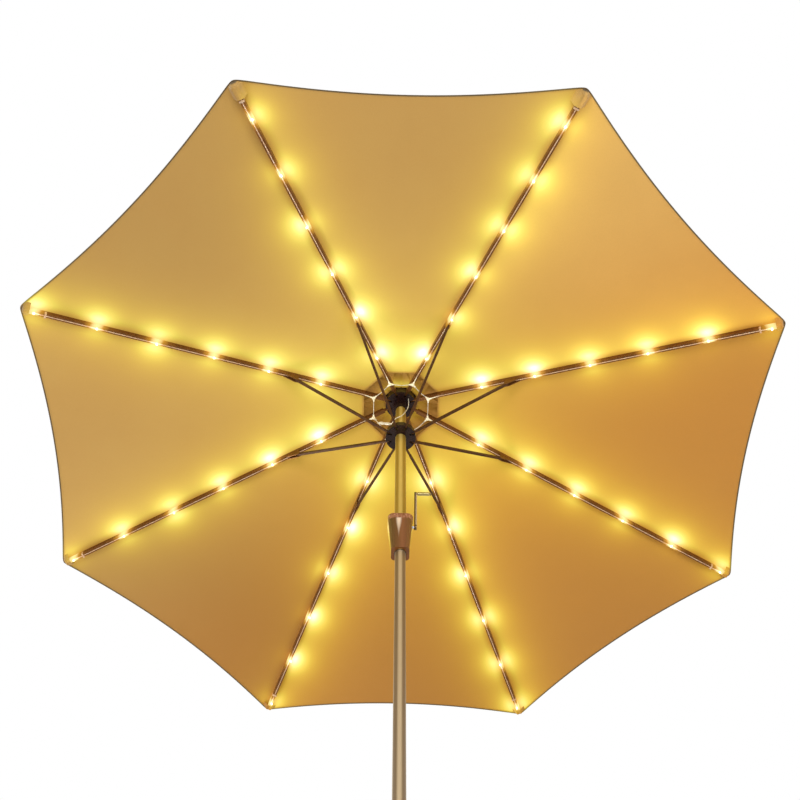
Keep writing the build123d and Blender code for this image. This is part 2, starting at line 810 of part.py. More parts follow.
single_pieces = {
    "lower_pole": make_lower_pole,
    "upper_pole": make_upper_pole,
    "top_hub": make_top_hub,
    "hub_pins": make_hub_pins,
    "top_sheave": make_top_sheave,
    "runner": make_runner,
    "lift_cord": make_lift_cord,
    "crank_housing": make_crank_housing,
    "housing_screws": make_housing_screws,
    "crank_spool": make_crank_spool,
    "crank_arm": make_crank_arm,
    "crank_grip": make_crank_grip,
    "finial": make_finial,
    "solar_case": make_solar_case,
    "solar_panel": make_solar_panel,
    "battery_cell": make_battery_cell,
    "circuit_board": make_circuit_board,
    "power_button": make_power_button,
    "light_ring": make_light_ring,
    "supply_lead": make_supply_lead,
}
for node, make in single_pieces.items():
    write(node, make())

rib = make_rib()
stretcher = make_stretcher()
panel = make_canopy_panel()
for k in range(1, rib_count + 1):
    write(f"rib_{k}", around(k) * rib)
    write(f"stretcher_{k}", around(k) * stretcher)
    write(f"canopy_panel_{k}", around(k) * panel)
    write(f"light_strand_{k}", around(k) * make_light_strand(k))
    write(f"leds_{k}", make_leds(k))

print(f"bracket pivot: {bracket_u:.2f} along the rib, {bracket_n:.2f} from its axis")
print(f"runner travel {runner_travel:.2f}, housing top {housing_top_z:.2f}")
print(f"crank axis {crank_axis_z:.2f}, link angle {link_angle:.3f}")
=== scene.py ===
"""Looks of the lit garden parasol: cloth, lamps, cords, materials, camera and studio, in metres."""

import json
from collections import namedtuple
from math import cos, pi, radians, sin, tan

import bpy
import numpy as np
from mathutils import Matrix, Vector

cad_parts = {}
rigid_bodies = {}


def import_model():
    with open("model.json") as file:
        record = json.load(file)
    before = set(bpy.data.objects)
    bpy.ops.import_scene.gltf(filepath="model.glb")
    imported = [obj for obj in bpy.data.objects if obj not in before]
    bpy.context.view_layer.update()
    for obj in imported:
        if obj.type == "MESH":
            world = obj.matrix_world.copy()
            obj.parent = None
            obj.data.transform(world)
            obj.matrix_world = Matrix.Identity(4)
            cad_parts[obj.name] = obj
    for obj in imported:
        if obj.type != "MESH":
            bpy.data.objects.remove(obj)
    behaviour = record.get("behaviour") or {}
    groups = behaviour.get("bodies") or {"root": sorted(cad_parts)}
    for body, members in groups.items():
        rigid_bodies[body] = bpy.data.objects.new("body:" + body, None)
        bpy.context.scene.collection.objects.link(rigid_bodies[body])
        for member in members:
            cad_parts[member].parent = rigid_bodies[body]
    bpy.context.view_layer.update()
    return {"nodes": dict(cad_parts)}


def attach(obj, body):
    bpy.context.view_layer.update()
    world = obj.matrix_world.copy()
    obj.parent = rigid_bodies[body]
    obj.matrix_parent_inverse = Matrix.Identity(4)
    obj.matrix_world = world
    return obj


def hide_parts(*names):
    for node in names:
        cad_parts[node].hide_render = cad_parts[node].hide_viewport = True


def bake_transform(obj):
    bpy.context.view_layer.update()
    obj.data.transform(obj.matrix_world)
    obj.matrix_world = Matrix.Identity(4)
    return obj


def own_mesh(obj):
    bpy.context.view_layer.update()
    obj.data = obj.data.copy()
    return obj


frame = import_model()
nodes = frame["nodes"]

# Sizes repeated from the part
RIB_COUNT = 8
RIBS = range(1, RIB_COUNT + 1)
FIRST_RIB = radians(-67.5)
SLOPE = radians(15.0)
HALF_SECTOR = pi / RIB_COUNT
HINGE_RADIUS = 0.046
HUB_Z = 2.350
HUB_BOTTOM_Z = 2.338
RUNNER_TOP_Z = 2.155
CRANK_Z = 1.55501
CANOPY_RADIUS = 1.350
RIB_HALF_WIDTH = 0.007
RIB_HALF_HEIGHT = 0.009
CLOTH_TOP_N = 0.0108
CLOTH_THICKNESS = 0.0008
RIM_SAG = 0.040
VENT_RADIUS = 0.150
CAP_RADIUS = 0.290
CAP_INNER_RADIUS = 0.062
CAP_LIFT = 0.020
CAP_SAG = 0.009
WIRE_N = -0.0109
COLLAR_BOTTOM_N = -0.0145
LED_COUNT = 6
LED_OUTER_RADIUS = 1.300
LED_PITCH = 0.1955
LED_TAIL_SHIFT = 0.077
TAIL_OUTER_RADIUS = LED_OUTER_RADIUS - LED_TAIL_SHIFT
TAIL_RIBS = (1, 8)
LED_RADIUS = 0.0034
LED_BODY = 0.0045
JUNCTION_RADIUS = 0.115
JUNCTION_DROP = 0.020
JUNCTION_ARM = 0.014
RING_GAP = 0.0012
RING_DIAMETER = 0.0026
RING_SAGS = (0.006, 0.007, 0.006, 0.009, 0.013, 0.008, 0.006, 0.007)
LEAD_DIAMETER = 0.0026
LEAD_RIB = 6
LIFT_CORD_DIAMETER = 0.0024
LIFT_CORD_INNER_Y = 0.0095
LIFT_CORD_OUTER_Y = 0.0245
APEX_Z = HUB_Z + HINGE_RADIUS * tan(SLOPE) + CLOTH_TOP_N / cos(SLOPE)

# Lean of each lamp, from the rim inwards: 1 is the full angle towards the next rib, -1 towards the one before
LAMP_LEANS = {
    1: (-0.5, 0, 0, -0.5, 1, -1),
    2: (0, -1, -0.5, -0.5, -1, -1),
    3: (-0.5, -1, -0.5, -0.5, -0.5, -0.5),
    4: (0, 0, 0, 0.5, -0.5, 0),
    5: (-0.5, -1, -1, -0.5, -1, 0),
    6: (0.5, 0.5, 0, 0.5, 1, 1),
    7: (0.5, 0.5, 0, 0.5, 0.5, 0.5),
    8: (1, 0.5, -0.5, 0, 1, 0.5),
}
LEAN_ANGLE = radians(38.0)

# Lamps that shine less on the cloth: rib and place from the rim inwards
WEAK_LAMPS = {(1, 4): 0.6, (2, 0): 0.3, (3, 0): 0.8, (5, 0): 0.6, (6, 0): 0.4, (8, 0): 0.6, (8, 1): 0.8}


# Places on the parasol

def rib_azimuth(k):
    return FIRST_RIB + 2 * HALF_SECTOR * (k - 1)


def tangent(k):
    a = rib_azimuth(k)
    return Vector((-sin(a), cos(a), 0))


def hinge(k):
    a = rib_azimuth(k)
    return Vector((HINGE_RADIUS * cos(a), HINGE_RADIUS * sin(a), HUB_Z))


def rib_matrix(k):
    """Frame of rib k: X down along the rib, Y sideways, Z square to it, origin on its hinge."""
    a = rib_azimuth(k)
    along = Vector((cos(a) * cos(SLOPE), sin(a) * cos(SLOPE), -sin(SLOPE)))
    side = tangent(k)
    up = along.cross(side)
    matrix = Matrix((along, side, up)).transposed().to_4x4()
    matrix.translation = hinge(k)
    return matrix


def rib_u(radius):
    """Distance along a rib from its hinge to a radius."""
    return (radius - HINGE_RADIUS) / cos(SLOPE)


def half_width(radius):
    """Distance from a rib to mid gore, square to the rib."""
    return radius * sin(HALF_SECTOR) * cos(HALF_SECTOR)


def lamp_radii(k):
    outer = TAIL_OUTER_RADIUS if k in TAIL_RIBS else LED_OUTER_RADIUS
    return [outer - LED_PITCH * i for i in range(LED_COUNT)]


def smooth(value):
    """Smooth step from 0 to 1."""
    t = np.clip(value, 0.0, 1.0)
    return t * t * (3 - 2 * t)


# Mesh helpers

TUBE_SIDES = 12
SPLINE_STEPS = 10


def add_mesh(name, points, faces, material, smooth_angle=40.0):
    mesh = bpy.data.meshes.new(name)
    mesh.from_pydata([tuple(p) for p in points], [], faces)
    mesh.update()
    mesh.shade_smooth()
    mesh.set_sharp_from_angle(angle=radians(smooth_angle))
    mesh.materials.append(material)
    piece = bpy.data.objects.new(name, mesh)
    bpy.context.scene.collection.objects.link(piece)
    return piece


def set_values(piece, **values):
    """Stores named numbers on a piece's points for its material to read."""
    for name, numbers in values.items():
        attribute = piece.data.attributes.new(name, "FLOAT", "POINT")
        attribute.data.foreach_set("value", np.asarray(numbers, dtype=np.float32).reshape(-1))


def ring_faces(rings, sides):
    """Faces round a row of rings of points, closed at both ends."""
    faces = []
    for row in range(rings - 1):
        here, ahead = row * sides, (row + 1) * sides
        for i in range(sides):
            j = (i + 1) % sides
            faces.append((here + i, here + j, ahead + j, ahead + i))
    last = (rings - 1) * sides
    faces.append(tuple(reversed(range(sides))))
    faces.append(tuple(range(last, last + sides)))
    return faces


def sheet_faces(rows, columns):
    """Faces of a thin closed sheet: a grid of points for its top, one for its underside, and its edges."""
    count = rows * columns
    faces = []
    for row in range(rows - 1):
        for column in range(columns - 1):
            a = row * columns + column
            b, d, e = a + 1, a + columns, a + columns + 1
            faces.append((a, d, e, b))
            faces.append((count + a, count + b, count + e, count + d))
    for row in range(rows - 1):
        left = row * columns
        right = left + columns - 1
        faces.append((left, count + left, count + left + columns, left + columns))
        faces.append((right, right + columns, count + right + columns, count + right))
    for near in range(columns - 1):
        far = (rows - 1) * columns + near
        faces.append((near, near + 1, count + near + 1, count + near))
        faces.append((far, count + far, count + far + 1, far + 1))
    return faces


def lathe(outline, sides, matrix):
    """Points and faces of an outline in radius and height turned about the local Z axis."""
    points = []
    for radius, height in outline:
        for i in range(sides):
            angle = 2 * pi * i / sides
            points.append(matrix @ Vector((radius * cos(angle), radius * sin(angle), height)))
    return points, ring_faces(len(outline), sides)


def join_shapes(shapes):
    """One list of points and faces from several."""
    points, faces = [], []
    for some_points, some_faces in shapes:
        start = len(points)
        points += some_points
        faces += [tuple(start + i for i in face) for face in some_faces]
    return points, faces


def spline_points(route):
    """Points along the smooth line through a cord's route."""
    curve = bpy.data.curves.new("route", "CURVE")
    curve.dimensions = "3D"
    curve.resolution_u = SPLINE_STEPS
    spline = curve.splines.new("NURBS")
    spline.points.add(len(route) - 1)
    for point, place in zip(spline.points, route):
        point.co = (*place, 1.0)
    spline.order_u = 3
    spline.use_endpoint_u = True
    holder = bpy.data.objects.new("route", curve)
    mesh = bpy.data.meshes.new_from_object(holder)
    points = [v.co.copy() for v in mesh.vertices]
    bpy.data.objects.remove(holder)
    bpy.data.meshes.remove(mesh)
    bpy.data.curves.remove(curve)
    return points


def tube(points, radius):
    """Round tube along points, with its rings carried along without twist."""
    angles = [2 * pi * j / TUBE_SIDES for j in range(TUBE_SIDES)]
    flat = []
    side = None
    for i, place in enumerate(points):
        ahead = (points[min(i + 1, len(points) - 1)] - points[max(i - 1, 0)]).normalized()
        if side is None:
            side = ahead.orthogonal().normalized()
        side = (side - ahead * side.dot(ahead)).normalized()
        other = ahead.cross(side)
        flat += [place + (side * cos(a) + other * sin(a)) * radius for a in angles]
    return flat, ring_faces(len(points), TUBE_SIDES)


# Material helpers

NOISE_LOW = 0.3
NOISE_HIGH = 0.7
PATCH_LOW = 0.35
PATCH_HIGH = 0.65
NOISE_ROUGHNESS = 0.55


class Nodes:
    """Small helper that builds one material's nodes."""

    limits = ("From Min", "From Max", "To Min", "To Max")

    def __init__(self, name, colour, roughness, metallic=0.0):
        self.material = bpy.data.materials.new(name)
        self.material.use_nodes = True
        self.tree = self.material.node_tree
        self.shader = self.tree.nodes["Principled BSDF"]
        self.set("Base Color", (*colour, 1.0))
        self.set("Roughness", roughness)
        self.set("Metallic", metallic)

    def set(self, socket, value):
        self.shader.inputs[socket].default_value = value

    def add(self, kind, **settings):
        node = self.tree.nodes.new(kind)
        for key, value in settings.items():
            setattr(node, key, value)
        return node

    def link(self, output, target):
        self.tree.links.new(output, target)

    def to(self, output, socket):
        self.link(output, self.shader.inputs[socket])

    def coordinates(self):
        return self.add("ShaderNodeTexCoord").outputs["Object"]

    def split(self, vector):
        """X, Y and Z of a vector."""
        node = self.add("ShaderNodeSeparateXYZ")
        self.link(vector, node.inputs["Vector"])
        return node.outputs["X"], node.outputs["Y"], node.outputs["Z"]

    def place(self):
        """X, Y and Z of the place at rest."""
        return self.split(self.coordinates())

    def facing(self):
        """X, Y and Z of the way that the surface faces."""
        return self.split(self.add("ShaderNodeNewGeometry").outputs["Normal"])

    def stored(self, name):
        """Number that the piece stores on its points."""
        return self.add("ShaderNodeAttribute", attribute_name=name).outputs["Fac"]

    def feed(self, value, socket):
        """Gives a socket a number, a colour or what another node puts out."""
        if isinstance(value, (int, float)):
            socket.default_value = value
        elif isinstance(value, tuple):
            socket.default_value = (*value, 1.0)
        else:
            self.link(value, socket)

    def math(self, operation, *values):
        node = self.add("ShaderNodeMath", operation=operation)
        for value, socket in zip(values, node.inputs):
            self.feed(value, socket)
        return node.outputs[0]

    def noise(self, scale, detail=4.0, stretch=(1.0, 1.0, 1.0)):
        mapping = self.add("ShaderNodeMapping")
        mapping.inputs["Scale"].default_value = stretch
        self.link(self.coordinates(), mapping.inputs["Vector"])
        node = self.add("ShaderNodeTexNoise")
        node.inputs["Scale"].default_value = scale
        node.inputs["Detail"].default_value = detail
        node.inputs["Roughness"].default_value = NOISE_ROUGHNESS
        self.link(mapping.outputs["Vector"], node.inputs["Vector"])
        return node.outputs["Fac"]

    def ramp(self, value, stops):
        node = self.add("ShaderNodeValToRGB")
        elements = node.color_ramp.elements
        while len(elements) < len(stops):
            elements.new(0.5)
        for element, (position, colour) in zip(elements, stops):
            element.position = position
            element.color = (*colour, 1.0)
        self.link(value, node.inputs["Fac"])
        return node.outputs["Color"]

    def range(self, value, low, high, to_low, to_high, smooth=True):
        node = self.add("ShaderNodeMapRange")
        if smooth:
            node.interpolation_type = "SMOOTHSTEP"
        self.link(value, node.inputs["Value"])
        for socket, number in zip(self.limits, (low, high, to_low, to_high)):
            node.inputs[socket].default_value = number
        return node.outputs["Result"]

    def mix(self, share, first, second, blend="MIX"):
        node = self.add("ShaderNodeMix", data_type="RGBA", blend_type=blend)
        for value, name in ((share, "Factor"), (first, "A"), (second, "B")):
            self.feed(value, node.inputs[name])
        return node.outputs["Result"]

    def two_tone(self, pattern, dark, light):
        """Colour that runs from dark to light with a noise pattern."""
        return self.ramp(pattern, [(NOISE_LOW, dark), (NOISE_HIGH, light)])

    def mottle(self, pattern, base, share, colour):
        """Base colour with patches that take on up to a share of another colour."""
        return self.mix(self.range(pattern, PATCH_LOW, PATCH_HIGH, 0.0, share), base, colour)

    def gloss(self, pattern, low, high):
        """Roughness that runs from low to high with a noise pattern."""
        self.to(self.range(pattern, NOISE_LOW, NOISE_HIGH, low, high), "Roughness")

    def bump(self, height, strength, distance):
        node = self.add("ShaderNodeBump")
        node.inputs["Strength"].default_value = strength
        node.inputs["Distance"].default_value = distance
        self.link(height, node.inputs["Height"])
        self.link(node.outputs["Normal"], self.shader.inputs["Normal"])


def rgb(*values):
    """Linear colour from screen values of 0 to 255."""
    shares = [value / 255 for value in values]
    return tuple(s / 12.92 if s <= 0.04 else ((s + 0.055) / 1.055) ** 2.4 for s in shares)


# Materials

STITCH_INSET = 0.0085
STITCH_HALF_WIDTHS = (0.0004, 0.0009)
STITCH_PITCH = 0.004
BINDING_FADE = (0.0035, 0.0065)
THREAD_PITCH = 0.0011
THREAD_HEIGHT = 0.0002
CREASE_HEIGHT = 0.004
RIB_LIT_REACH = 0.075
WIRE_LIT_REACH = 0.05
WHITE_WIRE_FADE = (0.135, 0.155)
# Number of painted highlight bands round each pole
POLE_HIGHLIGHT_BANDS = 4.0
HOUSING_HALF_WIDTH = 0.040
HOUSING_RIM_FADE = (1.549, 1.557)
# Painted highlight on the housing's front: its middle, heights and half widths
HIGHLIGHT_X = -0.005
HIGHLIGHT_START_Z = 1.455
HIGHLIGHT_NARROW_Z = 1.470
HIGHLIGHT_TOP_Z = 1.550
HIGHLIGHT_HALF_WIDTHS = (0.002, 0.011)
# Where the crank arm's painted shade turns into its painted light
CRANK_LIGHT_FADE = (0.0458, 0.0478)
ROPE_PITCH = 0.0035
ROPE_TWIST = 2600.0
CELL_LINE_PITCH = 0.0025
CELL_BAR_PITCH = 0.013
BATTERY_END_FADE = (0.0300, 0.0304)
END_FACE = 0.7


def radius_from_pole(n):
    """Distance from the pole's axis, worked out from the place at rest."""
    x, y, _ = n.place()
    return n.math("SQRT", n.math("ADD", n.math("MULTIPLY", x, x), n.math("MULTIPLY", y, y)))


def near_lamp(n, outer, reach):
    """Share of lamp light, from 1 beside a lamp to 0 at reach from it, with the first lamp at outer."""
    steps = n.math("DIVIDE", n.math("SUBTRACT", outer, radius_from_pole(n)), LED_PITCH)
    lamp = n.math("MINIMUM", n.math("MAXIMUM", n.math("ROUND", steps), 0.0), LED_COUNT - 1.0)
    away = n.math("ABSOLUTE", n.math("SUBTRACT", steps, lamp))
    return n.range(away, 0.0, reach / LED_PITCH, 1.0, 0.0)


def wave(n, along, pitch):
    """Wave along a length, one in each pitch."""
    return n.math("SINE", n.math("MULTIPLY", along, 2 * pi / pitch))


def cloth_colour(n, across, shade):
    """Woven cloth, a little paler towards one side, with a bound and stitched rim."""
    x, y, _ = n.place()
    towards = n.math("ADD", n.math("MULTIPLY", x, -0.6), n.math("MULTIPLY", y, -0.8))
    base = n.mix(n.range(towards, -0.5, 0.5, 0.0, 1.0), rgb(192, 132, 55), rgb(196, 154, 84))
    # Light and shade painted for each gore, multiplied into the colour
    tone = n.stored("tone")
    even = n.add("ShaderNodeCombineColor")
    for socket in ("Red", "Green", "Blue"):
        n.link(tone, even.inputs[socket])
    base = n.mix(1.0, base, even.outputs["Color"], blend="MULTIPLY")
    base = n.mottle(n.noise(3.0, 3.0), base, 0.10, rgb(176, 122, 62))
    base = n.mottle(n.noise(420.0, 2.0), base, 0.08, rgb(150, 104, 52))
    base = n.mix(n.range(shade, 0.0, 1.0, 0.0, 1.0), base, rgb(120, 74, 34))
    edge = n.stored("edge")
    from_stitches = n.math("ABSOLUTE", n.math("SUBTRACT", edge, STITCH_INSET))
    stitch_line = n.range(from_stitches, *STITCH_HALF_WIDTHS, 1.0, 0.0)
    dashes = n.math("GREATER_THAN", wave(n, across, STITCH_PITCH), -0.3)
    base = n.mix(n.math("MULTIPLY", stitch_line, n.math("MULTIPLY", dashes, 0.5)), base, rgb(150, 112, 62))
    return n.mix(n.range(edge, *BINDING_FADE, 1.0, 0.0), base, rgb(92, 76, 50))


def cloth_material():
    """Cloth with lamp light painted on its underside as a glow, yellower where it is brighter."""
    n = Nodes("canopy_cloth", rgb(209, 153, 80), 0.85)
    glow = n.stored("glow")
    shade = n.stored("shade")
    along, across, _ = n.split(n.add("ShaderNodeUVMap", uv_map="cloth").outputs["UV"])
    n.to(cloth_colour(n, across, shade), "Base Color")

    light = n.add("ShaderNodeCombineColor")
    n.link(glow, light.inputs["Red"])
    green_share = n.math("MINIMUM", n.math("MULTIPLY_ADD", glow, 0.75, 0.66), 0.99)
    n.link(n.math("MULTIPLY", glow, n.math("SUBTRACT", green_share, shade)), light.inputs["Green"])
    n.link(n.math("MULTIPLY", n.math("POWER", glow, 2.6), 0.36), light.inputs["Blue"])
    n.to(light.outputs["Color"], "Emission Color")
    n.set("Emission Strength", 1.0)
    n.set("Sheen Weight", 0.2)
    n.set("Sheen Roughness", 0.5)
    n.set("Specular IOR Level", 0.2)

    threads = n.math("MULTIPLY", wave(n, along, THREAD_PITCH), wave(n, across, THREAD_PITCH))
    weave = n.math("MULTIPLY", threads, THREAD_HEIGHT)
    creases = n.math("MULTIPLY", n.noise(9.0, 3.0), CREASE_HEIGHT)
    n.bump(n.math("ADD", weave, creases), 0.5, 1.0)
    return n.material


def bronze_tube(name, tones, metallic, gloss, shine):
    """Dark bronze tube with a slight grain."""
    n = Nodes(name, rgb(104, 68, 38), 0.26, metallic)
    n.to(n.two_tone(n.noise(60.0, 5.0), *tones), "Base Color")
    n.gloss(n.noise(220.0), *gloss)
    n.set("Specular IOR Level", shine)
    n.bump(n.noise(900.0, 2.0), 0.25, 0.0004)
    return n


def rib_material(name, outer):
    """Bronze rib with lamp light painted on it as a warm glow where a lamp hangs."""
    n = bronze_tube(name, (rgb(92, 56, 30), rgb(124, 82, 46)), 0.85, (0.20, 0.36), 0.5)
    # Painted lamp light: a warm glow beside each lamp
    painted_glow = [
        (0.0, rgb(50, 29, 6)),
        (0.45, rgb(88, 56, 13)),
        (0.8, rgb(180, 132, 38)),
        (1.0, rgb(255, 240, 160)),
    ]
    n.to(n.ramp(near_lamp(n, outer, RIB_LIT_REACH), painted_glow), "Emission Color")
    n.set("Emission Strength", 1.0)
    return n.material


def strut_material():
    """Darker and duller bronze of the stretchers."""
    tones = (rgb(64, 38, 16), rgb(92, 58, 26))
    return bronze_tube("strut_bronze", tones, 0.2, (0.42, 0.56), 0.2).material


def clear_wire(name):
    """Clear wire with a pink cast, and its share of white, which is full at the branching piece."""
    n = Nodes(name, rgb(226, 196, 172), 0.18)
    n.set("Transmission Weight", 0.25)
    n.set("IOR", 1.46)
    n.set("Coat Weight", 0.5)
    white = n.range(radius_from_pole(n), *WHITE_WIRE_FADE, 1.0, 0.0)
    tint = n.two_tone(n.noise(90.0), rgb(204, 156, 118), rgb(240, 210, 172))
    n.to(n.mix(white, tint, rgb(252, 246, 226)), "Base Color")
    n.set("Emission Strength", 1.0)
    n.bump(n.noise(500.0), 0.2, 0.0003)
    return n, white


def strand_material(name, outer):
    """Wire under a rib, lit beside each lamp."""
    n, white = clear_wire(name)
    # Painted lamp light: a glow beside each lamp
    painted_glow = [(0.0, rgb(34, 26, 14)), (0.5, rgb(120, 90, 30)), (1.0, rgb(255, 246, 200))]
    lit = n.ramp(near_lamp(n, outer, WIRE_LIT_REACH), painted_glow)
    n.to(n.mix(white, lit, rgb(120, 112, 80)), "Emission Color")
    return n.material


def ring_wire_material():
    """Wire round the hub, lit a little all over."""
    n, _ = clear_wire("ring_wire")
    n.set("Emission Color", (*rgb(44, 38, 26), 1.0))
    return n.material


def pole_material(name, dark, bright):
    """Satin coat, painted with highlights down four sides and shade between, and faint drawing lines along
    it.
    """
    n = Nodes(name, bright, 0.4, 0.3)
    x, y, _ = n.place()
    # Painted highlights down four sides of the tube, with painted shade between them
    turns = n.math("MULTIPLY", n.math("ARCTAN2", y, x), POLE_HIGHLIGHT_BANDS)
    band = n.range(n.math("COSINE", turns), -0.6, 1.0, 0.0, 1.0)
    streaks = n.noise(40.0, stretch=(24.0, 24.0, 0.15))
    coat = n.mottle(streaks, n.mix(band, dark, bright), 0.10, rgb(110, 86, 60))
    _, _, up = n.facing()
    end_face = n.math("GREATER_THAN", n.math("ABSOLUTE", up), END_FACE)
    n.to(n.mix(end_face, coat, rgb(70, 48, 34)), "Base Color")
    n.gloss(streaks, 0.36, 0.46)
    n.bump(streaks, 0.05, 0.0003)
    return n.material


def housing_material():
    """Glossy brown moulding with a painted highlight as a pale wedge down its front, painted shade at its
    sides, a plain underside and a coarse, redder rim.
    """
    n = Nodes("housing_brown", rgb(112, 66, 44), 0.2)
    x, _, z = n.place()
    across = n.range(x, -HOUSING_HALF_WIDTH, HOUSING_HALF_WIDTH, 0.0, 1.0, smooth=False)
    # Painted shade, darker towards the left and right sides
    sides = [
        (0.08, rgb(70, 44, 28)),
        (0.36, rgb(100, 64, 39)),
        (0.56, rgb(130, 80, 55)),
        (0.92, rgb(84, 44, 31)),
    ]
    # Painted highlight: a pale wedge down the front, wide at the top, narrowing and fading downwards
    aside = n.math("ABSOLUTE", n.math("SUBTRACT", x, HIGHLIGHT_X))
    half = n.range(z, HIGHLIGHT_NARROW_Z, HIGHLIGHT_TOP_Z, *HIGHLIGHT_HALF_WIDTHS)
    painted_highlight = n.range(n.math("DIVIDE", aside, half), 0.2, 1.0, 1.0, 0.0)
    painted_highlight = n.math("MULTIPLY", painted_highlight, n.range(z, HIGHLIGHT_START_Z, HIGHLIGHT_TOP_Z, 0.0, 0.95))
    body = n.mix(painted_highlight, n.ramp(across, sides), rgb(240, 220, 198))
    _, _, up = n.facing()
    upright = n.range(up, -0.9, -0.6, 0.0, 1.0)
    body = n.mix(upright, rgb(118, 68, 24), body)
    rim = n.range(z, *HOUSING_RIM_FADE, 0.0, 1.0)
    grain = n.noise(160.0, 3.0)
    band = n.mix(n.range(grain, 0.45, 0.6, 0.0, 0.6), rgb(126, 72, 52), rgb(206, 150, 126))
    n.to(n.mix(rim, body, band), "Base Color")
    n.to(upright, "Coat Weight")
    n.set("Coat Roughness", 0.08)
    n.bump(n.math("MULTIPLY", grain, rim), 0.4, 0.002)
    return n.material


def moulded_material(name, colour, roughness, grain_scale, shine=0.5):
    """Moulded plastic with a fine skin texture and a slight change of tone."""
    n = Nodes(name, colour, roughness)
    n.set("Specular IOR Level", shine)
    light = tuple(min(1.0, c * 1.35) for c in colour)
    dark = tuple(c * 0.72 for c in colour)
    n.to(n.two_tone(n.noise(18.0), dark, light), "Base Color")
    grain = n.noise(grain_scale, 3.0)
    n.gloss(grain, roughness * 0.8, min(1.0, roughness * 1.25))
    n.bump(grain, 0.3, 0.0003)
    return n.material


def metal_material(name, colour, roughness):
    """Bare metal with a fine grain."""
    n = Nodes(name, colour, roughness, 1.0)
    grain = n.noise(120.0)
    n.to(n.two_tone(grain, tuple(c * 0.8 for c in colour), colour), "Base Color")
    n.gloss(grain, roughness * 0.75, roughness * 1.3)
    n.bump(grain, 0.15, 0.0003)
    return n.material


def crank_material():
    """Bronze bar with painted shade on the side towards the housing and painted light, in a paler bronze, on
    its outer side.
    """
    n = Nodes("crank_bronze", rgb(132, 112, 84), 0.38, 1.0)
    x, _, _ = n.place()
    # Painted shade towards the housing, painted light on the outer side
    painted_lit_side = n.range(x, *CRANK_LIGHT_FADE, 0.0, 1.0)
    grain = n.noise(120.0)
    pale = n.two_tone(grain, rgb(112, 94, 66), rgb(138, 118, 84))
    n.to(n.mix(painted_lit_side, rgb(48, 26, 14), pale), "Base Color")
    n.gloss(grain, 0.29, 0.49)
    n.bump(grain, 0.15, 0.0003)
    return n.material


def lamp_material():
    """Lit lens: hot at the nose, warmer towards the collar."""
    n = Nodes("lamp_lens", rgb(255, 244, 204), 0.1)
    heat = [(0.0, (1.0, 0.66, 0.16)), (0.5, (1.0, 0.86, 0.42)), (1.0, (1.0, 0.97, 0.80))]
    n.to(n.ramp(n.stored("nose"), heat), "Emission Color")
    n.set("Emission Strength", 3.0)
    return n.material


def rope_material():
    n = Nodes("braided_cord", rgb(214, 204, 182), 0.8)
    x, _, z = n.place()
    along = n.math("MULTIPLY", z, 2 * pi / ROPE_PITCH)
    strands = n.math("SINE", n.math("ADD", along, n.math("MULTIPLY", x, ROPE_TWIST)))
    shades = [(0.0, rgb(150, 136, 108)), (1.0, rgb(230, 222, 202))]
    n.to(n.ramp(n.range(strands, -1.0, 1.0, 0.0, 1.0), shades), "Base Color")
    n.bump(strands, 0.5, 0.0003)
    return n.material


def solar_material():
    """Dark blue cells under glass, with fine lines across them and broader bars along them."""
    n = Nodes("solar_cells", rgb(16, 22, 44), 0.12)
    x, y, _ = n.place()
    fine_line = n.range(n.math("PINGPONG", y, CELL_LINE_PITCH), 0.0, 0.00018, 1.0, 0.0)
    from_bar = n.math("PINGPONG", n.math("ADD", x, CELL_BAR_PITCH), CELL_BAR_PITCH)
    bar = n.range(from_bar, 0.0004, 0.0008, 1.0, 0.0)
    cell = n.ramp(n.noise(30.0, 5.0), [(PATCH_LOW, rgb(10, 14, 34)), (PATCH_HIGH, rgb(26, 36, 74))])
    cell = n.mix(n.math("MULTIPLY", fine_line, 0.35), cell, rgb(150, 158, 172))
    n.to(n.mix(bar, cell, rgb(176, 180, 184)), "Base Color")
    n.set("Coat Weight", 1.0)
    n.set("Coat Roughness", 0.04)
    return n.material


def board_material():
    green = rgb(20, 78, 40)
    n = Nodes("circuit_board", green, 0.4)
    cells = n.add("ShaderNodeTexVoronoi", feature="DISTANCE_TO_EDGE")
    cells.inputs["Scale"].default_value = 260.0
    n.link(n.coordinates(), cells.inputs["Vector"])
    tracks = n.range(cells.outputs["Distance"], 0.03, 0.07, 1.0, 0.0)
    n.to(n.mix(tracks, green, rgb(60, 124, 64)), "Base Color")
    return n.material


def battery_material():
    green = rgb(40, 98, 58)
    n = Nodes("battery_wrap", green, 0.35)
    x, _, _ = n.place()
    ends = n.range(n.math("ABSOLUTE", x), *BATTERY_END_FADE, 0.0, 1.0)
    n.to(n.mix(ends, green, rgb(190, 190, 192)), "Base Color")
    n.to(ends, "Metallic")
    return n.material


CLOTH = cloth_material()
RIB_METAL = rib_material("rib_bronze", LED_OUTER_RADIUS)
TAIL_RIB_METAL = rib_material("rib_bronze_tail", TAIL_OUTER_RADIUS)
STRAND_WIRE = strand_material("clear_wire", LED_OUTER_RADIUS)
TAIL_STRAND_WIRE = strand_material("clear_wire_tail", TAIL_OUTER_RADIUS)
RING_WIRE = ring_wire_material()
STRUT_METAL = strut_material()
HUB_PLASTIC = moulded_material("hub_brown", rgb(34, 16, 14), 0.25, 300.0, shine=0.3)
STEEL = metal_material("steel", rgb(196, 196, 198), 0.28)
LAMP_LENS = lamp_material()
ROPE = rope_material()

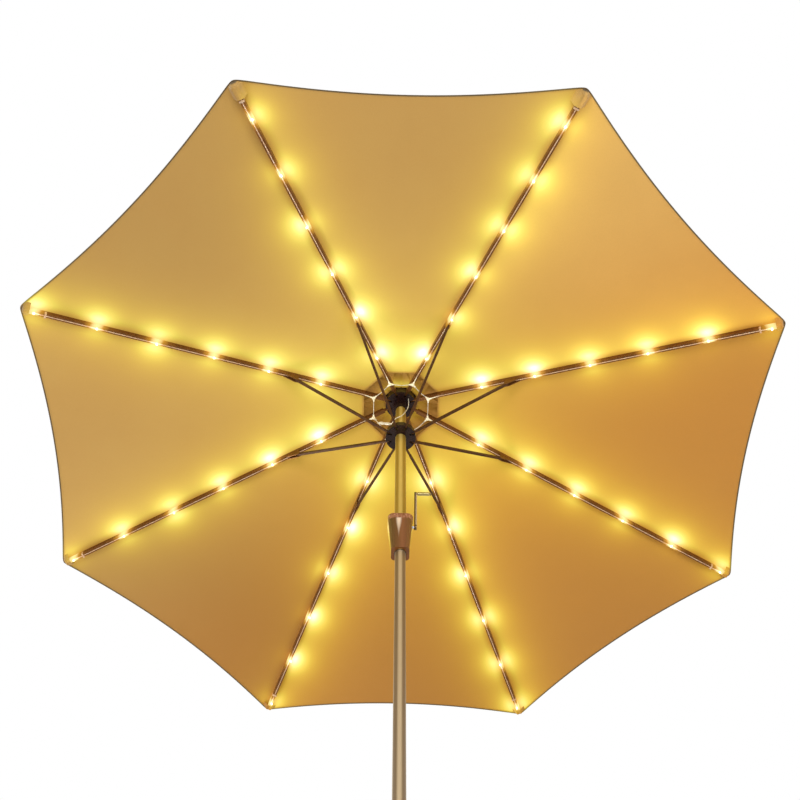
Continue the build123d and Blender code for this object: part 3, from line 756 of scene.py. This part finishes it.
CAD_LOOKS = {
    "lower_pole": pole_material("pole_champagne", rgb(128, 106, 75), rgb(199, 177, 141)),
    # The upper pole's gold is painted lamp light from the lit canopy above it
    "upper_pole": pole_material("pole_gold_painted_lamp_light", rgb(160, 130, 44), rgb(214, 188, 104)),
    "top_hub": HUB_PLASTIC,
    "hub_pins": STEEL,
    "top_sheave": HUB_PLASTIC,
    "runner": HUB_PLASTIC,
    "crank_housing": housing_material(),
    "housing_screws": STEEL,
    "crank_spool": STEEL,
    "crank_arm": crank_material(),
    "crank_grip": metal_material("grip_metal", rgb(172, 156, 108), 0.38),
    "finial": HUB_PLASTIC,
    "solar_case": moulded_material("case_black", rgb(40, 40, 42), 0.55, 700.0),
    "solar_panel": solar_material(),
    "battery_cell": battery_material(),
    "circuit_board": board_material(),
    "power_button": moulded_material("button_grey", rgb(128, 128, 130), 0.6, 900.0),
}
for k in RIBS:
    CAD_LOOKS[f"rib_{k}"] = TAIL_RIB_METAL if k in TAIL_RIBS else RIB_METAL
    CAD_LOOKS[f"stretcher_{k}"] = STRUT_METAL
    CAD_LOOKS[f"light_strand_{k}"] = TAIL_STRAND_WIRE if k in TAIL_RIBS else STRAND_WIRE
for node, look in CAD_LOOKS.items():
    for slot in nodes[node].material_slots:
        slot.link = "OBJECT"
        slot.material = look


# Lamp light painted on the cloth

LAMP_STRENGTH = 0.0024
LAMP_CORE = 0.023
LAMP_REACH = 0.30
UPRIGHT_SHARE = 0.9
LEAN_GAIN = 0.1
LEAN_LOSS = 0.78
SHADOW_SOFTNESS = 0.020
SHADOW_FLOOR = 0.36
CENTRE_GLOW = 0.17
CENTRE_RADIUS = 0.30
CENTRE_FADE = 0.33
VENT_GLOW = 0.040
VENT_HUB_GLOW = 0.24
VENT_FADE = 0.042
VENT_BLEND = 0.25
VENT_LIGHT = (1.0, 0.55, 0.9, 0.8, 0.9, 0.55, 1.0, 2.2)
# Light and shade painted on each gore: above 1 brighter, below 1 darker
GORE_PAINTED_LIGHT = (1.32, 1.05, 0.96, 0.90, 0.80, 0.99, 0.86, 0.94)
TONE_START = 0.30
TONE_FULL = 1.10
RIB_SHADE = 0.3
RIB_SHADE_WIDTH = 0.020


def lamp_nose(lean):
    """How far to the side of its rib and square to it a leaning lamp's nose lies."""
    reach = LED_BODY + LED_RADIUS - COLLAR_BOTTOM_N + WIRE_N
    return reach * sin(LEAN_ANGLE * lean), WIRE_N - reach * cos(LEAN_ANGLE * lean)


def side_share(across, lean):
    """Share of a lamp's light on each side of its rib: less on the side that it leans away from."""
    towards = np.sign(across) * lean
    return UPRIGHT_SHARE + np.where(towards > 0, LEAN_GAIN, LEAN_LOSS) * towards


def past_rib(across, height, side, drop):
    """Share of a lamp's light that passes its own rib, which shades a strip of the cloth above it."""
    grow = (height - drop) / (-RIB_HALF_HEIGHT - drop)
    right_edge = side + (RIB_HALF_WIDTH - side) * grow
    left_edge = side - (RIB_HALF_WIDTH + side) * grow
    right = np.clip((across - right_edge) / (2 * SHADOW_SOFTNESS) + 0.5, 0, 1)
    left = np.clip((left_edge - across) / (2 * SHADOW_SOFTNESS) + 0.5, 0, 1)
    return SHADOW_FLOOR + (1 - SHADOW_FLOOR) * np.maximum(right, left)


def glow_at(k, points):
    """Light on each point of the underside from the lamps of rib k and of the two ribs beside it."""
    total = np.zeros(len(points))
    for other in RIBS:
        apart = min((other - k) % RIB_COUNT, (k - other) % RIB_COUNT)
        if apart > 1:
            continue
        inverse = np.array(rib_matrix(other).inverted())
        along, across, height = (points @ inverse[:3, :3].T + inverse[:3, 3]).T
        for i, (radius, lean) in enumerate(zip(lamp_radii(other), LAMP_LEANS[other])):
            side, drop = lamp_nose(lean)
            square = (along - rib_u(radius)) ** 2 + (across - side) ** 2 + (height - drop) ** 2
            light = LAMP_STRENGTH / (square + LAMP_CORE**2) * np.exp(-square / LAMP_REACH**2)
            light *= side_share(across, lean) * WEAK_LAMPS.get((other, i), 1.0)
            if apart == 0:
                light *= past_rib(across, height, side, drop)
            total += light
    return total


def of_gore(values, k, side):
    """Value of the gore before rib k, where side is -1, or after it, where side is 1."""
    before, after = values[(k - 2) % RIB_COUNT], values[k - 1]
    return (before + after) / 2 + (after - before) / 2 * side


def common_glow(k, radius, share):
    """Light from all the lamps together, which is strongest round the hub and the same on every gore."""
    return CENTRE_GLOW * np.exp(-np.maximum(radius - CENTRE_RADIUS, 0.0) / CENTRE_FADE)


def vent_glow(k, radius, share):
    """Light on the vent cap, which is strongest next to the hub and differs from gore to gore."""
    near_hub = np.exp(-((np.maximum(radius - CAP_INNER_RADIUS, 0.0) / VENT_FADE) ** 2))
    return VENT_GLOW + VENT_HUB_GLOW * near_hub * of_gore(VENT_LIGHT, k, np.clip(share / VENT_BLEND, -1, 1))


def gore_tone(k, radius, share):
    """Painted light and shade of the two gores beside rib k, which differ more towards the rim."""
    tone = of_gore(GORE_PAINTED_LIGHT, k, np.sign(share))
    return 1 + (tone - 1) * smooth((radius - TONE_START) / (TONE_FULL - TONE_START))


def rib_shade(radius, share):
    """Darker strip along the rib, where it keeps the lamp light off the cloth."""
    return RIB_SHADE * np.exp(-((np.abs(half_width(radius) * share) / RIB_SHADE_WIDTH) ** 2))


# Canopy

COLUMNS = 28
COLUMN_CROWDING = 1.7
ROW_STEP = 0.010
SCALLOP_GAIN = 1.04
CORNER_ROUND = 0.010
CORNER_TAPER = 0.61
MID_OVERLAP = 0.0004
RIB_FLAT = 0.022
LEAST_GORE = 0.01
GORE_DROOP = 0.010
HEM_WIDTH = 0.010
HEM_SWELL = 0.0009
HEM_LIGHT = 0.3
HEM_DARK_EDGE = 0.002
GLOW_CEILING = 1.6
CAP_DROOP = 0.002
CAP_LAMP_SHARE = 0.10
# Least shade painted on the vent cap's underside, which lies recessed above the vent
CAP_LEAST_SHADE = 0.16
CAP_LAP = 1.0
CAP_LAP_LENGTH = 0.125
CAP_LAP_DROP = 0.004
CAP_LAP_BEND = 0.15
CLOTH_SMOOTH_ANGLE = 50.0

# Cut of a panel and how its underside is lit; lap widens its inner end, and the last field is the least shade
# painted on its underside
Cut = namedtuple("Cut", "inner outer sag apex droop lamp_share all_round lap dull")
CANOPY_CUT = Cut(VENT_RADIUS, CANOPY_RADIUS, RIM_SAG, APEX_Z, GORE_DROOP, 1.0, common_glow, 0.0, 0.0)
CAP_CUT = Cut(
    inner=CAP_INNER_RADIUS,
    outer=CAP_RADIUS,
    sag=CAP_SAG,
    apex=APEX_Z + CAP_LIFT,
    droop=CAP_DROOP,
    lamp_share=CAP_LAMP_SHARE,
    all_round=vent_glow,
    lap=CAP_LAP,
    dull=CAP_LEAST_SHADE,
)


def column_shares():
    """Shares across a panel, from mid gore over the rib to mid gore, closer together near the rib."""
    half = [(i / COLUMNS) ** COLUMN_CROWDING for i in range(1, COLUMNS + 1)]
    half[-1] += MID_OVERLAP
    return np.array([-s for s in reversed(half)] + [0.0] + half)


def rim_radius(share, cut):
    """Radius of the scalloped rim, with its corner at the rib rounded off."""
    s = np.minimum(np.abs(share), 1.0)
    across = half_width(cut.outer) * s
    rounding = CORNER_TAPER * (np.sqrt(across**2 + CORNER_ROUND**2) - across)
    return cut.outer - cut.sag * SCALLOP_GAIN * (1 - (1 - s) ** 2) - rounding


def panel_grid(cut):
    """Radius and share of every point of a panel, row by row from its inner edge, and its rim's radii."""
    shares = column_shares()
    width = cut.outer - cut.inner
    hem = HEM_WIDTH / width
    middle = np.linspace(2 * hem, 1 - 1.5 * hem, int(width / ROW_STEP))
    steps = np.concatenate([[0.0, hem * 0.5, hem], middle, [1 - hem, 1 - hem * 0.5, 1.0]])
    rims = rim_radius(shares, cut)
    radius = cut.inner + (rims[None, :] - cut.inner) * steps[:, None]
    share = np.repeat(shares[None, :], len(steps), axis=0)
    widening = cut.lap * (1 - smooth((radius - cut.inner) / CAP_LAP_LENGTH))
    return radius, share * (1 + widening), rims


def rib_lift(across):
    """How much higher the cloth lies than a plane gore, so that it runs flat over the rib."""
    return tan(SLOPE) * tan(HALF_SECTOR) * RIB_FLAT * np.tanh(np.abs(across) / RIB_FLAT)


def hang(radius, share, cut):
    """How far a panel hangs down between its edges, away from the rib, and where it tucks under the next."""
    progress = np.clip((radius - cut.inner) / (cut.outer - cut.inner), 0, 1)
    half = half_width(radius)
    beside_rib = np.clip((half * np.abs(share) - RIB_FLAT) / np.maximum(half - RIB_FLAT, LEAST_GORE), 0, 1)
    droop = cut.droop * np.sin(pi * progress) * (1 - (1 - beside_rib) ** 2)
    return droop + CAP_LAP_DROP * smooth((np.abs(share) - 1 - MID_OVERLAP) / CAP_LAP_BEND)


def sheet_points(k, radius, share, cut):
    """Places of the points of rib k's panel on its top side."""
    across = half_width(radius) * share
    along = radius * (1 - sin(HALF_SECTOR) ** 2 * np.abs(share))
    height = cut.apex - radius * tan(SLOPE) - hang(radius, share, cut) + rib_lift(across)
    a = rib_azimuth(k)
    x = along * cos(a) - across * sin(a)
    y = along * sin(a) + across * cos(a)
    return np.stack([x, y, height], axis=-1)


def set_flat(piece, radius, share):
    """Stores the cloth's flat coordinates, along the rib and across it, on both sides of a panel."""
    flat = np.stack([radius / cos(SLOPE), half_width(radius) * share], axis=-1).reshape(-1, 2)
    flat = np.concatenate([flat, flat])
    layer = piece.data.uv_layers.new(name="cloth")
    corners = np.zeros(len(piece.data.loops), dtype=np.int32)
    piece.data.loops.foreach_get("vertex_index", corners)
    layer.data.foreach_set("uv", flat[corners].astype(np.float32).reshape(-1))


def layered_panel(name, k, cut):
    """Closed thin panel of cloth on rib k with rolled hems, and the light that its underside shows."""
    radius, share, rims = panel_grid(cut)
    top = sheet_points(k, radius, share, cut)
    rim_gap = rims[None, :] - radius
    edge_gap = np.minimum(rim_gap, radius - cut.inner)
    swell = HEM_SWELL * np.clip(1.0 - (edge_gap / HEM_WIDTH) ** 4, 0, 1)
    bottom = top.copy()
    bottom[..., 2] -= CLOTH_THICKNESS + swell
    top[..., 2] += swell * 0.5
    points = np.concatenate([top.reshape(-1, 3), bottom.reshape(-1, 3)])
    piece = add_mesh(name, points, sheet_faces(*radius.shape), CLOTH, CLOTH_SMOOTH_ANGLE)

    glow = cut.lamp_share * glow_at(k, bottom.reshape(-1, 3)).reshape(radius.shape)
    glow = np.minimum(glow + cut.all_round(k, radius, share), GLOW_CEILING)
    hem_light = HEM_LIGHT + (1 - HEM_LIGHT) * smooth((edge_gap - HEM_DARK_EDGE) / HEM_WIDTH)
    none = np.zeros_like(radius)
    # The painted gore light and shade, the painted glow and the painted shade go on the underside only
    set_values(
        piece,
        tone=[none + 1, gore_tone(k, radius, share)],
        glow=[none, glow * hem_light],
        shade=[none, np.maximum(rib_shade(radius, share), cut.dull)],
        edge=[rim_gap, rim_gap],
    )
    set_flat(piece, radius, share)
    return piece


def declare_cloth(piece, k):
    """Cloth on rib k, carried on the rib's body with a mesh of its own."""
    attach(piece, f"rib_{k}")
    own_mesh(piece)


def make_canopy():
    for k in RIBS:
        main = layered_panel(f"canopy_{k}", k, CANOPY_CUT)
        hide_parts(f"canopy_panel_{k}")
        declare_cloth(main, k)
        cap = layered_panel(f"vent_cap_{k}", k, CAP_CUT)
        declare_cloth(cap, k)


# Corner pockets

POCKET_END = 1.3375
POCKET_FULL = 1.3305
POCKET_MOUTH = 1.314
POCKET_MOUTH_TAIL = 1.290
POCKET_DEPTH = 0.0196
POCKET_DEPTH_TAIL = 0.0242
POCKET_CLOSED_DEPTH = 0.0010
POCKET_HALF_WIDTH = 0.024
POCKET_END_HALF_WIDTH = 0.007
POCKET_SPREAD = 1.5
POCKET_EASE = 0.0015
POCKET_LEAST_FLANK = 0.002
POCKET_FOLD = 0.0011
POCKET_FOLDS_ACROSS = 9
POCKET_FOLDS_ALONG = 60
POCKET_THICKNESS = 0.0009
POCKET_BELOW_TOP = 0.0012
POCKET_HEM = 0.0042
POCKET_EDGE = 0.0025
POCKET_ROWS = 20
POCKET_COLUMNS = 28
POCKET_LAMP_SHARE = 0.10
POCKET_PATCH_GLOW = 0.16
POCKET_GLOW_CEILING = 0.5
POCKET_TONE = 0.92
SIDE_FALL = 0.107


def pocket_point(k, radius, share, layer):
    """Point of the pocket on rib k: flat at its sides, over the rib in the middle, closed at the corner."""
    closing = 1 - smooth((radius - POCKET_FULL) / (POCKET_END - POCKET_FULL))
    half = min(POCKET_HALF_WIDTH, POCKET_END_HALF_WIDTH + POCKET_SPREAD * (POCKET_END - radius))
    across = half * share
    flank = max(half - RIB_HALF_WIDTH - POCKET_EASE, POCKET_LEAST_FLANK)
    over_rib = 1 - smooth((abs(across) - RIB_HALF_WIDTH - POCKET_EASE) / flank)
    waves = sin(POCKET_FOLDS_ACROSS * share + POCKET_FOLDS_ALONG * radius)
    fold = POCKET_FOLD * waves * (1 - share**2) * closing
    depth = POCKET_DEPTH_TAIL if k in TAIL_RIBS else POCKET_DEPTH
    drop = (POCKET_CLOSED_DEPTH + (depth - POCKET_CLOSED_DEPTH) * closing) * over_rib + fold + layer
    side_fall = SIDE_FALL * abs(across) - cos(SLOPE) * rib_lift(across)
    height = CLOTH_TOP_N - POCKET_BELOW_TOP - side_fall - drop
    return rib_matrix(k) @ Vector((rib_u(radius), across, height))


def make_pockets():
    """Cloth pocket round the end of each rib, open towards the pole."""
    faces = sheet_faces(POCKET_ROWS + 1, POCKET_COLUMNS + 1)
    for k in RIBS:
        mouth = POCKET_MOUTH_TAIL if k in TAIL_RIBS else POCKET_MOUTH
        length = POCKET_END - mouth
        points = []
        places = []
        for layer in (0.0, POCKET_THICKNESS):
            for row in range(POCKET_ROWS + 1):
                radius = mouth + length * row / POCKET_ROWS
                for column in range(POCKET_COLUMNS + 1):
                    share = 2 * column / POCKET_COLUMNS - 1
                    points.append(pocket_point(k, radius, share, layer))
                    places.append((radius, share))
        pocket = add_mesh(f"corner_pocket_{k}", points, faces, CLOTH)
        radius, share = np.array(places).T
        to_end = POCKET_END - radius
        patch = smooth(0.5 + share * (-1) ** k) * smooth(to_end / length)
        glow = POCKET_LAMP_SHARE * glow_at(k, np.array(points)) + POCKET_PATCH_GLOW * patch
        set_values(
            pocket,
            glow=np.minimum(glow, POCKET_GLOW_CEILING) * smooth(to_end / POCKET_HEM),
            tone=POCKET_TONE * gore_tone(k, radius, share),
            shade=np.zeros(len(points)),
            edge=POCKET_EDGE + to_end,
        )
        pocket.data.uv_layers.new(name="cloth")
        declare_cloth(pocket, k)


# Lamps

LAMP_SIDES = 16
DOME_STEPS = 8
LENS_TOP_RADIUS = 0.0022
LENS_NOSE_RADIUS = 0.0002
LENS_FLANGE = LED_RADIUS * 1.12
LENS_WAIST = LED_RADIUS * 0.94


def lens_outline():
    """Radii and heights of a lens with a base flange, a waist and a domed nose, from its nose up."""
    outline = [
        (LENS_TOP_RADIUS, -0.0002),
        (LENS_FLANGE, -0.0004),
        (LENS_FLANGE, -0.0014),
        (LENS_WAIST, -0.0018),
        (LED_RADIUS, -LED_BODY),
    ]
    for i in range(1, DOME_STEPS):
        angle = pi / 2 * i / DOME_STEPS
        outline.append((LED_RADIUS * cos(angle), -LED_BODY - LED_RADIUS * sin(angle)))
    outline.append((LENS_NOSE_RADIUS, -LED_BODY - LED_RADIUS))
    return list(reversed(outline))


def make_lamps():
    outline = lens_outline()
    depths = np.array([-height for _, height in outline]) / (LED_BODY + LED_RADIUS)
    drop = Matrix.Translation((0, 0, COLLAR_BOTTOM_N - WIRE_N))
    for k in RIBS:
        shapes = []
        for radius, lean in zip(lamp_radii(k), LAMP_LEANS[k]):
            wire = Matrix.Translation((rib_u(radius), 0, WIRE_N))
            turn = Matrix.Rotation(lean * LEAN_ANGLE, 4, "X")
            shapes.append(lathe(outline, LAMP_SIDES, rib_matrix(k) @ wire @ turn @ drop))
        lamps = add_mesh(f"lamp_lenses_{k}", *join_shapes(shapes), LAMP_LENS)
        set_values(lamps, nose=np.tile(np.repeat(depths, LAMP_SIDES), LED_COUNT))
        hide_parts(f"leds_{k}")
        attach(lamps, f"rib_{k}")


# Cords

LEAD_END_GAP = 0.0068
CONNECTOR_SIDES = 20

# Supply lead's route, with its heights from the hub's
LEAD_ROUTE = [
    (0.0283, -0.0283, -0.008),
    (0.0295, -0.0235, -0.040),
    (0.026, -0.0205, -0.072),
    (0.016, -0.026, -0.112),
    (0.003, -0.0285, -0.145),
    (-0.013, -0.0265, -0.153),
    (-0.026, -0.0155, -0.153),
    (-0.030, -0.003, -0.151),
    (-0.036, 0.0045, -0.1475),
    (-0.0425, 0.0059, -0.1441),
    (-0.0745, 0.0126, -0.1274),
    (-0.081, 0.014, -0.124),
    (-0.097, 0.024, -0.080),
]
CONNECTOR_FIRST = 8
CONNECTOR_LAST = 11

# Connector's radii, with their distances from its end and, for the last two, from its middle
CONNECTOR_SLEEVE = [(0.0016, -0.004), (0.0024, 0.0), (0.0036, 0.002), (0.0044, 0.006), (0.0046, 0.009)]
CONNECTOR_COLLAR = [(0.0056, 0.0094), (0.0056, 0.0132), (0.0050, 0.0136), (0.0056, 0.0140), (0.0056, 0.0176)]
CONNECTOR_OUTLINE = CONNECTOR_SLEEVE + CONNECTOR_COLLAR + [(0.0046, 0.018)]
CONNECTOR_MIDDLE = [(0.0046, -0.001), (0.0050, -0.0005)]


def junction(k):
    """Middle of the branching piece of rib k."""
    return rib_matrix(k) @ Vector((rib_u(JUNCTION_RADIUS), 0, -JUNCTION_DROP))


def ring_end(k, side):
    """Where a ring wire meets the branching piece of rib k, on the side of the next rib or the one before."""
    away = Vector((-sin(HALF_SECTOR), side * cos(HALF_SECTOR), 0))
    away.rotate(Matrix.Rotation(rib_azimuth(k), 3, "Z"))
    return junction(k) + away * (JUNCTION_ARM + RING_GAP)


def ring_route(k):
    """Control points of the ring wire from rib k to the next rib."""
    first, last = ring_end(k, 1), ring_end(k % RIB_COUNT + 1, -1)
    sag = Vector((0, 0, -RING_SAGS[k - 1]))
    return [first, first * (2 / 3) + last * (1 / 3) + sag, first * (1 / 3) + last * (2 / 3) + sag, last]


def make_ring():
    """Ring wires in eight lengths, each through one branching piece and on to mid gore on both sides."""
    for k in RIBS:
        before = ring_route((k - 2) % RIB_COUNT + 1)
        after = ring_route(k)
        start = (before[1] + before[2]) / 2
        end = (after[1] + after[2]) / 2
        line = spline_points([start, before[2], before[3], junction(k), after[0], after[1], end])
        piece = add_mesh(f"ring_wire_{k}", *tube(line, RING_DIAMETER / 2), RING_WIRE)
        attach(piece, f"rib_{k}")
        junction(k)
        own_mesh(piece)
        if k == 1:
            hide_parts("light_ring")


def make_connector(start, end):
    """Turned connector with two grooved collars, the same towards both its ends."""
    along = end - start
    length = along.length
    outline = CONNECTOR_OUTLINE + [(radius, length / 2 + z) for radius, z in CONNECTOR_MIDDLE]
    outline += [(radius, length - z) for radius, z in reversed(outline)]
    turn = along.to_track_quat("Z", "Y").to_matrix().to_4x4()
    shape = lathe(outline, CONNECTOR_SIDES, Matrix.Translation(start) @ turn)
    plug = add_mesh("lead_connector", *shape, RING_WIRE)
    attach(plug, "frame")
    return plug


def make_lead():
    """Supply lead out of the hub, through its connector and on to the branching piece that it feeds."""
    route = [Vector((x, y, HUB_Z + z)) for x, y, z in LEAD_ROUTE]
    connector_start, connector_end = route[CONNECTOR_FIRST], route[CONNECTOR_LAST]
    ball = junction(LEAD_RIB)
    route.append(ball - (ball - route[-1]).normalized() * LEAD_END_GAP)
    line = spline_points(route)
    lead = add_mesh("lead_wire", *tube(line, LEAD_DIAMETER / 2), RING_WIRE)
    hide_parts("supply_lead")
    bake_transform(lead)
    plug = make_connector(connector_start, connector_end)


def make_lift_cord():
    """Lift cord: the run inside the pole and over the sheave, and the fall outside down to the runner."""
    inner, outer = LIFT_CORD_INNER_Y, LIFT_CORD_OUTER_Y
    top = HUB_Z + (outer - inner) / 2
    rise = [(0, inner, z) for z in (CRANK_Z, 1.9, HUB_Z - 0.03, HUB_Z, top)]
    rise += [(0, outer, z) for z in (top, HUB_Z, HUB_BOTTOM_Z)]
    fall = [(0, outer, z) for z in (HUB_BOTTOM_Z, 2.29, 2.22, RUNNER_TOP_Z + 0.0002)]
    for name, route in (("lift_cord_run", rise), ("lift_cord_fall", fall)):
        line = spline_points([Vector(place) for place in route])
        cord = add_mesh(name, *tube(line, LIFT_CORD_DIAMETER / 2), ROPE)
        if name == "lift_cord_fall":
            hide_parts("lift_cord")
            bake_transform(cord)
        else:
            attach(cord, "frame")


make_canopy()
make_pockets()
make_lamps()
make_ring()
make_lead()
make_lift_cord()


# Camera

CAMERA_LENS = 45.58
SENSOR_WIDTH = 36.0
FAR_LIMIT = 100.0
CAMERA_PLACE = Vector((-0.0329, -1.8336, -1.0104))
CAMERA_RIGHT = Vector((0.99977, -0.02126, 0.00269))
CAMERA_UP = Vector((-0.01998, -0.87937, 0.47572))


def make_camera():
    camera = bpy.data.cameras.new("camera")
    camera.lens = CAMERA_LENS
    camera.sensor_width = SENSOR_WIDTH
    camera.clip_end = FAR_LIMIT
    holder = bpy.data.objects.new("camera", camera)
    back = CAMERA_RIGHT.cross(CAMERA_UP)
    matrix = Matrix((CAMERA_RIGHT, CAMERA_UP, back)).transposed().to_4x4()
    matrix.translation = CAMERA_PLACE
    holder.matrix_world = matrix
    bpy.context.scene.collection.objects.link(holder)
    bpy.context.scene.camera = holder


# Studio

WHITE = (1.0, 1.0, 1.0, 1.0)
WORLD_LIGHT = 0.48
FLOOR_HALF = 30.0
FLOOR_Z = -0.0005
FLOOR_FADE = (2.5, 14.0)
FLOOR_WHITE = (0.30, 0.62)

# Name, place, target, size and power of each lamp
LOW_LAMPS = (
    ("front", (-0.5, -3.2, 0.5), (0.0, 0.0, 1.4), 1.6, 58.0),
    ("back_left", (-2.3, 2.3, 0.4), (0.6, -0.6, 2.1), 1.6, 84.0),
    ("right", (2.8, -0.6, 0.4), (0.0, 0.0, 2.0), 1.6, 27.0),
)
TOP_LAMP = ("top", (-1.5, -2.0, 5.5), (0.0, 0.0, 2.1), 2.5, 135.0)


def direct_rays(tree):
    """1 for what is seen, also in a mirror or through glass, and 0 for the light that it gives."""
    path = tree.nodes.new("ShaderNodeLightPath").outputs
    share = path["Is Camera Ray"]
    for kind in ("Is Glossy Ray", "Is Transmission Ray"):
        larger = tree.nodes.new("ShaderNodeMath")
        larger.operation = "MAXIMUM"
        tree.links.new(share, larger.inputs[0])
        tree.links.new(path[kind], larger.inputs[1])
        share = larger.outputs[0]
    return share


def show_mix(tree, share, first, second):
    mixed = tree.nodes.new("ShaderNodeMixShader")
    for source, socket in zip((share, first, second), mixed.inputs):
        tree.links.new(source, socket)
    output = next(node for node in tree.nodes if node.type.startswith("OUTPUT"))
    tree.links.new(mixed.outputs["Shader"], output.inputs["Surface"])


def make_floor():
    """Pale floor, seen only from above, that takes the background's white further out."""
    n = Nodes("floor", (0.92, 0.92, 0.91), 0.9)
    n.to(n.two_tone(n.noise(1.5, 2.0), (0.90, 0.90, 0.89), (0.93, 0.93, 0.92)), "Base Color")
    white = n.range(radius_from_pole(n), *FLOOR_FADE, *FLOOR_WHITE)
    n.to(n.math("MULTIPLY", white, direct_rays(n.tree)), "Emission Strength")
    n.set("Emission Color", WHITE)
    from_below = n.add("ShaderNodeNewGeometry").outputs["Backfacing"]
    clear = n.add("ShaderNodeBsdfTransparent").outputs["BSDF"]
    show_mix(n.tree, from_below, n.shader.outputs["BSDF"], clear)
    corners = [(FLOOR_HALF * x, FLOOR_HALF * y, FLOOR_Z) for x, y in ((-1, -1), (1, -1), (1, 1), (-1, 1))]
    add_mesh("floor", corners, [(0, 1, 2, 3)], n.material)


def add_softbox(name, place, target, size, power, receivers=None):
    """Square lamp at place that faces target; receivers, where given, are all that it lights."""
    lamp = bpy.data.lights.new(name, "AREA")
    lamp.shape = "SQUARE"
    lamp.size = size
    lamp.energy = power
    holder = bpy.data.objects.new(name, lamp)
    holder.location = place
    holder.rotation_euler = (Vector(target) - Vector(place)).to_track_quat("-Z", "Y").to_euler()
    if receivers:
        holder.light_linking.receiver_collection = receivers
    bpy.context.scene.collection.objects.link(holder)


def object_collection():
    """All pieces of the part, for the low lamps, whose light stays off the floor."""
    pieces = bpy.data.collections.new("lit_pieces")
    for piece in bpy.context.scene.objects:
        if piece.type == "MESH":
            pieces.objects.link(piece)
    return pieces


def make_world():
    """White background, with a softer white as the light from all round."""
    world = bpy.data.worlds.new("studio")
    world.use_nodes = True
    bpy.context.scene.world = world
    tree = world.node_tree
    seen = tree.nodes["Background"]
    light = tree.nodes.new("ShaderNodeBackground")
    for background, strength in ((seen, 1.0), (light, WORLD_LIGHT)):
        background.inputs["Color"].default_value = WHITE
        background.inputs["Strength"].default_value = strength
    show_mix(tree, direct_rays(tree), light.outputs["Background"], seen.outputs["Background"])


make_camera()
pieces = object_collection()
make_floor()
make_world()
for low_lamp in LOW_LAMPS:
    add_softbox(*low_lamp, receivers=pieces)
add_softbox(*TOP_LAMP)
bpy.context.scene.view_settings.view_transform = "Standard"
